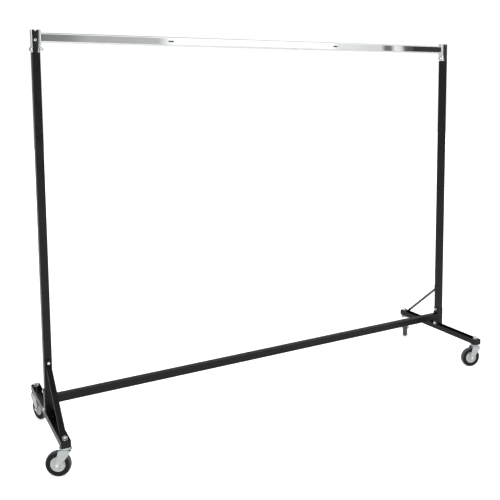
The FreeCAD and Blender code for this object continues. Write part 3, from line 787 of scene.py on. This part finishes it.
def bead(name, lines, nodes, radius, ripple):
    """Painted weld beads along lines of points."""
    mesh = bpy.data.meshes.new(name)
    points = []
    edges = []
    for line in lines:
        start = len(points)
        points += [tuple(p) for p in line]
        edges += [(start + i, start + i + 1) for i in range(len(line) - 1)]
    mesh.from_pydata(points, edges, [])
    obj = from_tree(name, "bead", mesh,
                    {"Radius": radius, "Ripple": ripple, "Material": finish_of("black_frame")})
    polish(obj)
    put(obj, "black_frame", "frame", nodes)


# ---------------------------------------------------------------- casters' places


# The turn is the matrix from a caster's own frame, with its trail along +X, to the rack's.
Caster = namedtuple("Caster", "corner stem turn trail axle")


def casters():
    """Each corner's swivel centre, turn, trail and axle height, from the frame's joints."""
    joints = {j["name"]: j for j in frame["joints"]}
    found = []
    for corner in CORNERS:
        stem = Vector(joints["swivel_" + corner]["pos_m"])
        roll = joints["roll_" + corner]
        heading = math.atan2(-roll["axis"][0], roll["axis"][1])
        wheel = Vector(roll["pos_m"])
        turn = Matrix.Translation((stem.x, stem.y, 0)) @ Matrix.Rotation(heading, 4, "Z")
        found.append(Caster(corner, stem, turn, (wheel - stem).to_2d().length, wheel.z))
    return found


def wheel_matrix(caster):
    """From a shape turned about +Z to the same shape on a caster's axle."""
    centre = Matrix.Translation((caster.trail, 0, caster.axle))
    return caster.turn @ centre @ Matrix.Rotation(math.radians(-90), 4, "X")


def own_points(kind, caster):
    """The points of a caster's node of one kind, in the caster's own frame."""
    back = caster.turn.inverted()
    return [back @ v.co for v in frame["nodes"][kind + caster.corner].data.vertices]


def span_of(kind, caster):
    """The lowest and highest sideways position of a caster's node."""
    across = [p.y for p in own_points(kind, caster)]
    return min(across), max(across)


def bore_of(kind, caster):
    """The smallest radius of a caster's node about the axle."""
    return min(math.hypot(p.x - caster.trail, p.z - caster.axle) for p in own_points(kind, caster))


def stem_points(height, corners=CORNERS):
    """Points at one height on the stems of some corners, all looking up."""
    return [((c.stem.x, c.stem.y, height), (0, 0, 1)) for c in casters() if c.corner in corners]


# ---------------------------------------------------------------- operators


class RackOperator(bpy.types.Operator):
    """Shared base of the rack's operators"""
    bl_idname = "rack.base"
    bl_label = "Rack piece"
    bl_options = {"REGISTER", "UNDO"}

    def execute(self, context):
        self.build(context.scene.rack_sizes)
        return {"FINISHED"}


class RACK_OT_tubes(RackOperator):
    """Make the two uprights and the crossbar from square tube"""
    bl_idname = "rack.tubes"
    bl_label = "Tubes"

    def build(self, sizes):
        for end in ENDS:
            low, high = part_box("upright_" + end)
            self.tube("upright_tube_" + end, high.x - low.x, high.y - low.y, low.z, high.z, sizes,
                      Matrix.Translation(((low.x + high.x) / 2, 0, 0)), "upright_" + end)
        low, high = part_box("crossbar_tube")
        lay = Matrix.Translation((0, 0, (low.z + high.z) / 2)) @ Matrix(
            ((0, 0, 1, 0), (1, 0, 0, 0), (0, 1, 0, 0), (0, 0, 0, 1)))
        self.tube("crossbar", high.y - low.y, high.z - low.z, low.x, high.x, sizes, lay, "crossbar_tube")

    def tube(self, name, width, depth, low, high, sizes, place, node):
        obj = from_tree(name, "tube", bpy.data.meshes.new(name),
                        {"Width": width, "Depth": depth, "Corner": sizes.tube_corner,
                         "Wall": sizes.tube_wall, "Low": low, "High": high, "Corner Steps": 6,
                         "Material": finish_of("black_frame")})
        obj.data.transform(place)
        polish(obj)
        put(obj, "black_frame", "frame", [node])


class RACK_OT_legs(RackOperator):
    """Make the two channel legs with their folded ends"""
    bl_idname = "rack.legs"
    bl_label = "Legs"

    def build(self, sizes):
        for end in ENDS:
            node_piece("leg_channel_" + end, "leg_" + end, "black_frame", sizes.cut_edge)


class RACK_OT_welds(RackOperator):
    """Lay the weld beads that hold the uprights on the legs and the crossbar in its end plates"""
    bl_idname = "rack.welds"
    bl_label = "Welds"

    def build(self, sizes):
        lines = []
        for low, high in solids_of("leg_welds"):
            near = low.y if abs(low.y) < abs(high.y) else high.y
            lines.append([(low.x, near, low.z), (high.x, near, low.z)])
        bead("leg_weld_beads", lines, ["leg_welds"], sizes.bead_radius * 1.25, sizes.bead_ripple)
        low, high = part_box("crossbar_tube")
        half = (high.y - low.y) / 2 - 0.001
        middle = (low.z + high.z) / 2
        square = ((1, 1), (-1, 1), (-1, -1), (1, -1), (1, 1))
        lines = [[(x, half * y, middle + half * z) for y, z in square] for x in (low.x, high.x)]
        bead("crossbar_weld_beads", lines, [], sizes.bead_radius * 0.75, sizes.bead_ripple)


class RACK_OT_braces(RackOperator):
    """Make the two flat bars that steady the uprights"""
    bl_idname = "rack.braces"
    bl_label = "Braces"

    def build(self, sizes):
        for end in ENDS:
            node_piece("brace_bar_" + end, "brace_" + end, "black_frame", sizes.cut_edge)


class RACK_OT_plates(RackOperator):
    """Make the plates on both faces of each upright"""
    bl_idname = "rack.plates"
    bl_label = "Plates"

    def build(self, sizes):
        for end in ENDS:
            for node in ("crossbar_plate_", "backing_plate_"):
                node_piece(node + "cut_" + end, node + end, "black_frame", sizes.cut_edge)


class RACK_OT_brackets(RackOperator):
    """Make the chromed sockets that hold the rail's ends"""
    bl_idname = "rack.brackets"
    bl_label = "Brackets"

    def build(self, sizes):
        for end in ENDS:
            node_piece("rail_socket_" + end, "rail_bracket_" + end, "chrome_trim", sizes.cast_edge,
                       segments=3)


class RACK_OT_rail(RackOperator):
    """Make the rail's three sections and the sleeves inside their joints"""
    bl_idname = "rack.rail"
    bl_label = "Hanging rail"

    def build(self, sizes):
        for part in ("left", "centre", "right"):
            node_piece("rail_tube_" + part, "rail_section_" + part, "chrome_trim", sizes.cut_edge)
        for end in ENDS:
            node_piece("rail_joiner_" + end, "rail_sleeve_" + end, "dark_screw", sizes.cut_edge)


class RACK_OT_bolts(RackOperator):
    """Make the hex bolts of the crossbar, the braces and the brackets"""
    bl_idname = "rack.bolts"
    bl_label = "Bolts"

    def build(self, sizes):
        frame_bolt = (sizes.bolt_flats, sizes.bolt_head, sizes.bolt_radius, sizes.bolt_pitch)
        brace_bolt = (sizes.brace_flats, sizes.brace_head, sizes.brace_radius, sizes.brace_pitch)
        for name, node, axis, bolt, slot, seed in (
                ("crossbar_hex_bolts", "crossbar_bolts", 0, frame_bolt, "bright_zinc", 3),
                ("brace_hex_bolts", "brace_bolts", 1, brace_bolt, "bright_zinc", 5),
                ("clamp_hex_bolts", "clamp_bolts", 0, frame_bolt, "chrome_trim", 9)):
            boxes = [b for b in solids_of(node) if b[1][axis] - b[0][axis] > SHORTEST_BOLT]
            head = bolt[1]
            shank = boxes[0][1][axis] - boxes[0][0][axis] - head
            places = [head_seat(box, axis, head, box[0].x < 0) for box in boxes]
            row(name, hex_bolt(*bolt, shank, THREADED_END), places, slot, node, spin=HEX_TURN, seed=seed)
        washer_row("clamp_outer_washers", "clamp_bolts", "chrome_trim", sizes)


class RACK_OT_nuts(RackOperator):
    """Make the nuts and washers on the frame's bolts"""
    bl_idname = "rack.nuts"
    bl_label = "Nuts and washers"

    def build(self, sizes):
        frame_bolt = (sizes.bolt_flats, sizes.bolt_radius)
        brace_bolt = (sizes.brace_flats, sizes.brace_radius)
        for node, axis, slot, (flats, radius) in (("crossbar_nuts", 0, "bright_zinc", frame_bolt),
                                                  ("brace_nuts", 1, "bright_zinc", brace_bolt),
                                                  ("clamp_nuts", 0, "chrome_trim", frame_bolt)):
            nuts = [b for b in solids_of(node) if b[1][axis] - b[0][axis] > LONGEST_WASHER]
            shape = hex_nut(flats, nuts[0][1][axis] - nuts[0][0][axis], radius * 0.97)
            row(node + "_hex", shape, [head_seat(box, axis, 0, True) for box in nuts], slot, node,
                spin=HEX_TURN, seed=11 + axis)
        washer_row("crossbar_flat_washers", "crossbar_washers", "bright_zinc", sizes)
        washer_row("clamp_inner_washers", "clamp_nuts", "chrome_trim", sizes)


class RACK_OT_screws(RackOperator):
    """Make the domed socket screws in the brackets and the small cross screws in the rail's joints"""
    bl_idname = "rack.screws"
    bl_label = "Screws"

    def build(self, sizes):
        for name, node, slot, head, points, recess, depth, spin, seed in (
                ("rail_socket_screws", "rail_screws", "chrome_trim", sizes.screw_head, 6, 0.0021, 0.0022,
                 math.radians(60), 4),
                ("rail_joint_cross_screws", "rail_joint_screws", "dark_screw", sizes.joint_head, 4, 0.0016,
                 0.0012, math.radians(90), 6)):
            boxes = solids_of(node)
            low, high = boxes[0]
            shape = self.domed((high.z - low.z) / 2, head, high.y - low.y - head, points, recess, depth)
            places = [head_seat(box, 1, head, abs(box[0].y) > abs(box[1].y)) for box in boxes]
            row(name, shape, places, slot, node, spin=spin, seed=seed)

    def domed(self, radius, head, shank, points, recess, depth):
        """A screw with its head under z = 0: a low dome with a pointed recess of 4 or 6 points."""
        segments = 48

        def recess_ring(scale, height):
            def reach(a):
                lobe = 0.5 + 0.5 * math.cos(a * points)
                return recess * scale * (0.42 + 0.58 * lobe ** 2 if points == 4 else 0.82 + 0.18 * lobe)

            return ring_at(reach, lambda a: height, segments)

        floor = -head + depth
        rings = [recess_ring(0.05, floor), recess_ring(0.7, floor), recess_ring(1.0, -head)]
        for share, drop in ((0.75, 0.03), (0.88, 0.12), (0.96, 0.32), (1.0, 0.6), (1.0, 1.0)):
            rings.append(circle(radius * share, -head * (1 - drop), segments))
        for share, height in ((0.58, 0), (0.58, shank * 0.9), (0.48, shank)):
            rings.append(circle(radius * share, height, segments))
        return loft(rings)


class RACK_OT_swivels(RackOperator):
    """Make what stays with the leg at each caster: stem, cap, ball ring, spacer, washer and nut"""
    bl_idname = "rack.swivels"
    bl_label = "Swivels"

    def build(self, sizes):
        stem_low, stem_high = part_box("caster_stems")
        races_low, races_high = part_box("top_races")
        nut_low, nut_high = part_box("stem_nuts")
        washer_low, washer_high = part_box("stem_washers")
        low, high = solids_of("top_races")[0]
        race = (high.x - low.x) / 2
        radius = sizes.stem_radius
        collar = sizes.collar_radius
        cap_underside = races_high.z - sizes.cap_thickness
        collar_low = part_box("fork_front_left")[1].z + 0.0003
        kingpin_high = stem_low.z + sizes.kingpin_head
        thread_low = nut_low.z - 0.004
        rings = [circle(collar * 0.86, stem_low.z), circle(collar * 0.97, stem_low.z + 0.0008),
                 circle(collar, stem_low.z + 0.002), circle(collar, kingpin_high),
                 circle(radius, kingpin_high), circle(radius, collar_low), circle(collar, collar_low),
                 circle(collar, cap_underside), circle(radius, cap_underside), circle(radius, thread_low)]
        rings += thread_rings(radius, sizes.stem_pitch, thread_low, stem_high.z)
        row("caster_threaded_stems", loft(rings), stem_points(0.0), "bright_zinc", "caster_stems",
            spin=math.tau, seed=2)
        top = races_high.z
        low = races_low.z
        wall = sizes.cap_wall
        bore = radius + STEM_GAP
        outline = [(bore, top), (bore, cap_underside), (race - wall - 0.002, cap_underside),
                   (race - wall, top - 0.0042), (race - wall, low), (race, low), (race, top - 0.0022),
                   (race - 0.0022, top)]
        row("swivel_caps", lathe(rounded(outline, 0.0007), 72), stem_points(0.0), "caster_zinc", "top_races")
        low, high = solids_of("ball_rings")[0]
        ring_radius = (high.x - low.x) / 2 - (high.z - low.z) / 2
        obj = from_tree("swivel_balls", "balls", points_mesh(stem_points((low.z + high.z) / 2)),
                        {"Balls": sizes.ball_count, "Ring Radius": ring_radius,
                         "Ball Radius": sizes.ball_radius, "Material": finish_of("bearing_steel")})
        polish(obj)
        put(obj, "bearing_steel", "frame", ["ball_rings"])
        # A brace's tab takes up part of the height at the braced corners, so their spacers are shorter.
        for size, braced in (("short", True), ("long", False)):
            corners = [corner for corner in CORNERS if (corner in BRACED_CORNERS) == braced]
            stem = next(c.stem for c in casters() if c.corner == corners[0])
            low, high = min(solids_of("stem_spacers"),
                            key=lambda b: (((b[0] + b[1]) / 2).to_2d() - stem.to_2d()).length)
            shape = flat_ring((high.x - low.x) / 2, bore, 0, high.z - low.z, SPACER_EDGE)
            row("stem_spacers_" + size, shape, stem_points(low.z, corners), "bright_zinc",
                "stem_spacers")
        low, high = solids_of("stem_washers")[0]
        shape = flat_ring((high.x - low.x) / 2, bore, 0, washer_high.z - washer_low.z, WASHER_EDGE)
        row("stem_flat_washers", shape, stem_points(washer_low.z), "bright_zinc", "stem_washers")
        shape = hex_nut(sizes.stem_flats, nut_high.z - nut_low.z, radius * 0.97)
        row("stem_hex_nuts", shape, stem_points(nut_low.z), "bright_zinc", "stem_nuts", spin=HEX_TURN,
            seed=8)


class RACK_OT_forks(RackOperator):
    """Make the pressed steel forks"""
    bl_idname = "rack.forks"
    bl_label = "Forks"

    def build(self, sizes):
        for corner in CORNERS:
            node_piece("pressed_fork_" + corner, "fork_" + corner, "caster_zinc", sizes.pressed_edge,
                       "caster_fork_" + corner, segments=3)


class RACK_OT_axles(RackOperator):
    """Make each caster's axle bolt with its nut"""
    bl_idname = "rack.axles"
    bl_label = "Axles"

    def build(self, sizes):
        for caster in casters():
            half = span_of("fork_", caster)[1]
            shank = span_of("axle_", caster)[1] + half
            bolt = hex_bolt(sizes.axle_flats, sizes.axle_head, sizes.bolt_radius, sizes.bolt_pitch, shank,
                            AXLE_THREADED_END)
            low, high = span_of("axle_nut_", caster)
            nut = hex_nut(sizes.axle_flats, high - low, sizes.bolt_radius * 0.97)
            for name, node, shape, start in (("axle_bolt_", "axle_", bolt, -half),
                                             ("axle_hex_nut_", "axle_nut_", nut, low)):
                bmesh.ops.translate(shape, verts=shape.verts, vec=(0, 0, start))
                shape.transform(wheel_matrix(caster))
                piece(name + caster.corner, shape, "bright_zinc", "caster_fork_" + caster.corner,
                      node + caster.corner)


class RACK_OT_wheels(RackOperator):
    """Make the moulded wheel centres and their steel bushings"""
    bl_idname = "rack.wheels"
    bl_label = "Wheel centres"

    def build(self, sizes):
        for caster in casters():
            corner = caster.corner
            across = wheel_matrix(caster)
            rim = bore_of("tyre_", caster)
            hub = sizes.hub_radius
            hub_half = span_of("wheel_centre_", caster)[1]
            rim_half = span_of("tyre_", caster)[1] - 0.0014
            web_half = rim_half * 0.58
            # The disc is dished between the boss and the rim, with soft moulded curves.
            half = [(sizes.bushing_radius, hub_half), (hub, hub_half), (hub + 0.0008, hub_half - 0.0019),
                    (hub + 0.0020, web_half + 0.0016), (hub + 0.0042, web_half + 0.0002),
                    (rim - 0.0080, web_half), (rim - 0.0053, web_half + 0.0006),
                    (rim - 0.0037, web_half + 0.0030), (rim - 0.0029, rim_half), (rim, rim_half)]
            outline = half + [(r, -y) for r, y in half[::-1]]
            shape = lathe(rounded(outline, 0.0009), 96)
            shape.transform(across)
            piece("wheel_disc_" + corner, shape, "hub_grey", "caster_wheel_" + corner,
                  "wheel_centre_" + corner)
            low, high = span_of("wheel_bushing_", caster)
            shape = flat_ring(sizes.bushing_radius, sizes.bolt_radius + AXLE_GAP, low, high, SPACER_EDGE)
            shape.transform(across)
            piece("wheel_sleeve_" + corner, shape, "bearing_steel", "caster_wheel_" + corner,
                  "wheel_bushing_" + corner)


class RACK_OT_tyres(RackOperator):
    """Make the rubber tyres with their rounded shoulders and treads painted paler as if lit"""
    bl_idname = "rack.tyres"
    bl_label = "Tyres"

    def build(self, sizes):
        for caster in casters():
            name = "rubber_tyre_" + caster.corner
            bore = bore_of("tyre_", caster)
            wide = span_of("tyre_", caster)[1]
            # The tyre stands on the floor, so it reaches as far out as its axle is high.
            reach = caster.axle
            # A moulded groove runs round the side, and the shoulder rolls into a slightly crowned tread.
            half = [(bore, wide - 0.0010), (bore + 0.0007, wide - 0.0002), (bore + 0.0025, wide),
                    (bore + 0.0070, wide), (bore + 0.0076, wide - 0.0005), (bore + 0.0082, wide),
                    (reach - 0.0064, wide), (reach - 0.0044, wide - 0.0006), (reach - 0.0028, wide - 0.0016),
                    (reach - 0.0015, wide - 0.0030), (reach - 0.0006, wide - 0.0046),
                    (reach - 0.0001, wide - 0.0070), (reach, wide - 0.0098), (reach, 0.0004)]
            outline = half + [(r, -y) for r, y in half[::-1]]
            shape = lathe(rounded(outline, 0.0005, steps=2), 120)
            obj = scene_object(name, mesh_from(shape, name))
            # The tread attribute marks the band that the tyre's material paints paler, as a painted
            # highlight.
            tread = obj.data.attributes.new("tread", "FLOAT", "POINT")
            for i, vert in enumerate(obj.data.vertices):
                radius = math.hypot(vert.co.x, vert.co.y)
                tread.data[i].value = min(1.0, max(0.0, (radius - reach + 0.0038) / 0.0016))
            obj.data.transform(wheel_matrix(caster))
            polish(obj)
            put(obj, "tyre_rubber", "caster_wheel_" + caster.corner, ["tyre_" + caster.corner])


class RACK_OT_stage(RackOperator):
    """Make the floor, the lights, the surroundings and the camera"""
    bl_idname = "rack.stage"
    bl_label = "Stage"

    def execute(self, context):
        self.floor()
        self.lights()
        self.surroundings(context.scene)
        self.camera(context.scene)
        context.scene.view_settings.view_transform = "Standard"
        return {"FINISHED"}

    def floor(self):
        mesh = bpy.data.meshes.new("studio_floor")
        steps = 8
        reach = 16.0
        at = [(-reach + 2 * reach * i / steps) for i in range(steps + 1)]
        points = [(x, y, 0.0) for y in at for x in at]
        faces = []
        for j in range(steps):
            for i in range(steps):
                k = j * (steps + 1) + i
                faces.append((k, k + 1, k + steps + 2, k + steps + 1))
        mesh.from_pydata(points, [], faces)
        obj = scene_object("studio_floor", mesh)
        obj.data.materials.append(finish_of("floor"))

    def lights(self):
        for name, place, aim, width, height, power in (
                ("overhead_softbox", (0.0, -0.4, 4.4), (0, 0, 0), 3.6, 3.6, 90),
                ("front_left_softbox", (-3.6, -3.4, 2.6), (-0.6, 0, 0.6), 1.8, 1.8, 30),
                ("tall_strip", (-1.45, -3.3, 0.9), (-1.07, 0, 0.8), 0.7, 1.7, 16),
                ("right_softbox", (4.4, -1.2, 2.2), (0.4, 0, 0.7), 1.6, 1.6, 14)):
            lamp = bpy.data.lights.new(name, "AREA")
            lamp.shape = "RECTANGLE"
            lamp.energy = power
            lamp.size = width
            lamp.size_y = height
            obj = scene_object(name, lamp)
            obj.location = place
            obj.rotation_mode = "QUATERNION"
            obj.rotation_quaternion = (Vector(aim) - Vector(place)).to_track_quat("-Z", "Y")
            obj.visible_camera = False
            obj.visible_glossy = name != "overhead_softbox"

    def surroundings(self, scene):
        """White paper all round for the eye; for reflections, a studio with dark and bright walls."""
        world = bpy.data.worlds.new("studio")
        world.use_nodes = True
        tree = world.node_tree
        tree.nodes.clear()
        looking = add(tree, "ShaderNodeTexCoord").outputs["Generated"]
        parts = add(tree, "ShaderNodeSeparateXYZ", {0: looking})
        behind = add(tree, "ShaderNodeMath", {0: parts.outputs["Y"], 1: -1.0}, operation="MULTIPLY")
        bearing = add(tree, "ShaderNodeMath", {0: parts.outputs["X"], 1: behind.outputs[0]},
                      operation="ARCTAN2").outputs[0]
        # All round the walls change slowly; from 8 to 46 degrees, which the rail mirrors to the main
        # camera, they are in fine strips listed one by one.
        wide = self.walls(tree, bearing, (-180, 180), [
            (-180, 0.50), (-100, 0.60), (-60, 0.85), (-30, 0.40), (0, 0.06), (8, 0.03), (46, 0.05),
            (62, 0.06), (80, 0.50), (120, 0.65), (180, 0.50)])
        fine = self.walls(tree, bearing, (8, 46), [
            (8, 0.03), (11.3, 0.03), (11.5, 0.27), (13.5, 0.34), (15.0, 0.54), (20.8, 0.64),
            (21.8, 1.40), (35.3, 1.40), (35.6, 1.05), (39.2, 0.90), (39.45, 0.20), (40.0, 0.22),
            (40.2, 1.20), (40.75, 1.10), (41.0, 0.17), (41.8, 0.05), (46, 0.05)])
        after = add(tree, "ShaderNodeMath", {0: bearing, 1: math.radians(8)}, operation="GREATER_THAN")
        before = add(tree, "ShaderNodeMath", {0: bearing, 1: math.radians(46)}, operation="LESS_THAN")
        strips = add(tree, "ShaderNodeMath", {0: after.outputs[0], 1: before.outputs[0]},
                     operation="MULTIPLY")
        walls = tint(tree, strips.outputs[0], wide, fine)
        # Above the walls hangs a white canopy in front and a duller one behind, open to the dark at the top.
        rise = between(tree, parts.outputs["Z"], 0.0, 1.0, 0.30, 0.40)
        back = between(tree, parts.outputs["Y"], 0.0, 1.0, -0.35, 0.0)
        canopy = tint(tree, back, (1.6, 1.6, 1.6, 1.0), (0.42, 0.42, 0.42, 1.0))
        peak = between(tree, parts.outputs["Z"], 0.0, 1.0, 0.86, 0.92)
        cover = tint(tree, peak, canopy, (0.06, 0.06, 0.06, 1.0))
        room = tint(tree, rise, walls, cover)
        seen = add(tree, "ShaderNodeBackground", {"Color": (1, 1, 1, 1), "Strength": 1.05})
        lit = add(tree, "ShaderNodeBackground", {"Color": room, "Strength": 1.0})
        eye = add(tree, "ShaderNodeLightPath").outputs["Is Camera Ray"]
        both = add(tree, "ShaderNodeMixShader", {0: eye, 1: lit.outputs[0], 2: seen.outputs[0]})
        add(tree, "ShaderNodeOutputWorld", {"Surface": both.outputs[0]})
        scene.world = world

    def walls(self, tree, bearing, span, stops):
        """Grey levels at bearings in degrees, blended in between over a span."""
        first, last = span
        share = between(tree, bearing, 0.0, 1.0, math.radians(first), math.radians(last))
        node = add(tree, "ShaderNodeValToRGB", {"Fac": share})
        ramp = node.color_ramp
        while len(ramp.elements) < len(stops):
            ramp.elements.new(0.5)
        for element, (degrees, level) in zip(ramp.elements, stops):
            element.position = (degrees - first) / (last - first)
            element.color = (level, level, level, 1)
        return node.outputs[0]

    def camera(self, scene):
        settings = scene.rack_stage
        lens = bpy.data.cameras.new("camera")
        lens.lens = settings.lens
        lens.shift_y = settings.shift
        lens.clip_end = 100
        obj = scene_object("camera", lens)
        obj.location = settings.eye
        pitch, roll, yaw = settings.turn
        obj.rotation_mode = "QUATERNION"
        obj.rotation_quaternion = (Matrix.Rotation(yaw, 3, "Z") @ Matrix.Rotation(pitch, 3, "X")
                                   @ Matrix.Rotation(roll, 3, "Z")).to_quaternion()
        scene.camera = obj


class RACK_PT_panel(bpy.types.Panel):
    """The rack's pieces and settings in the sidebar"""
    bl_idname = "RACK_PT_panel"
    bl_label = "Rolling clothes rack"
    bl_space_type = "VIEW_3D"
    bl_region_type = "UI"
    bl_category = "Rack"

    def draw(self, context):
        for operator in OPERATORS:
            self.layout.operator(operator.bl_idname)
        for group in (context.scene.rack_sizes, context.scene.rack_colours, context.scene.rack_stage):
            column = self.layout.column()
            for name in group.__annotations__:
                column.prop(group, name)


OPERATORS = (RACK_OT_tubes, RACK_OT_legs, RACK_OT_welds, RACK_OT_braces, RACK_OT_plates, RACK_OT_brackets,
             RACK_OT_rail, RACK_OT_bolts, RACK_OT_nuts, RACK_OT_screws, RACK_OT_swivels, RACK_OT_forks,
             RACK_OT_axles, RACK_OT_wheels, RACK_OT_tyres, RACK_OT_stage)
GROUPS = (RackSizes, RackColours, RackStage)


def register():
    for group in GROUPS + OPERATORS + (RACK_PT_panel,):
        bpy.utils.register_class(group)
    bpy.types.Scene.rack_sizes = bpy.props.PointerProperty(type=RackSizes)
    bpy.types.Scene.rack_colours = bpy.props.PointerProperty(type=RackColours)
    bpy.types.Scene.rack_stage = bpy.props.PointerProperty(type=RackStage)


def unregister():
    del bpy.types.Scene.rack_stage
    del bpy.types.Scene.rack_colours
    del bpy.types.Scene.rack_sizes
    for group in (GROUPS + OPERATORS + (RACK_PT_panel,))[::-1]:
        bpy.utils.unregister_class(group)


def main():
    register()
    for operator in OPERATORS:
        family, name = operator.bl_idname.split(".")
        getattr(getattr(bpy.ops, family), name)()


if __name__ == "__main__":
    main()
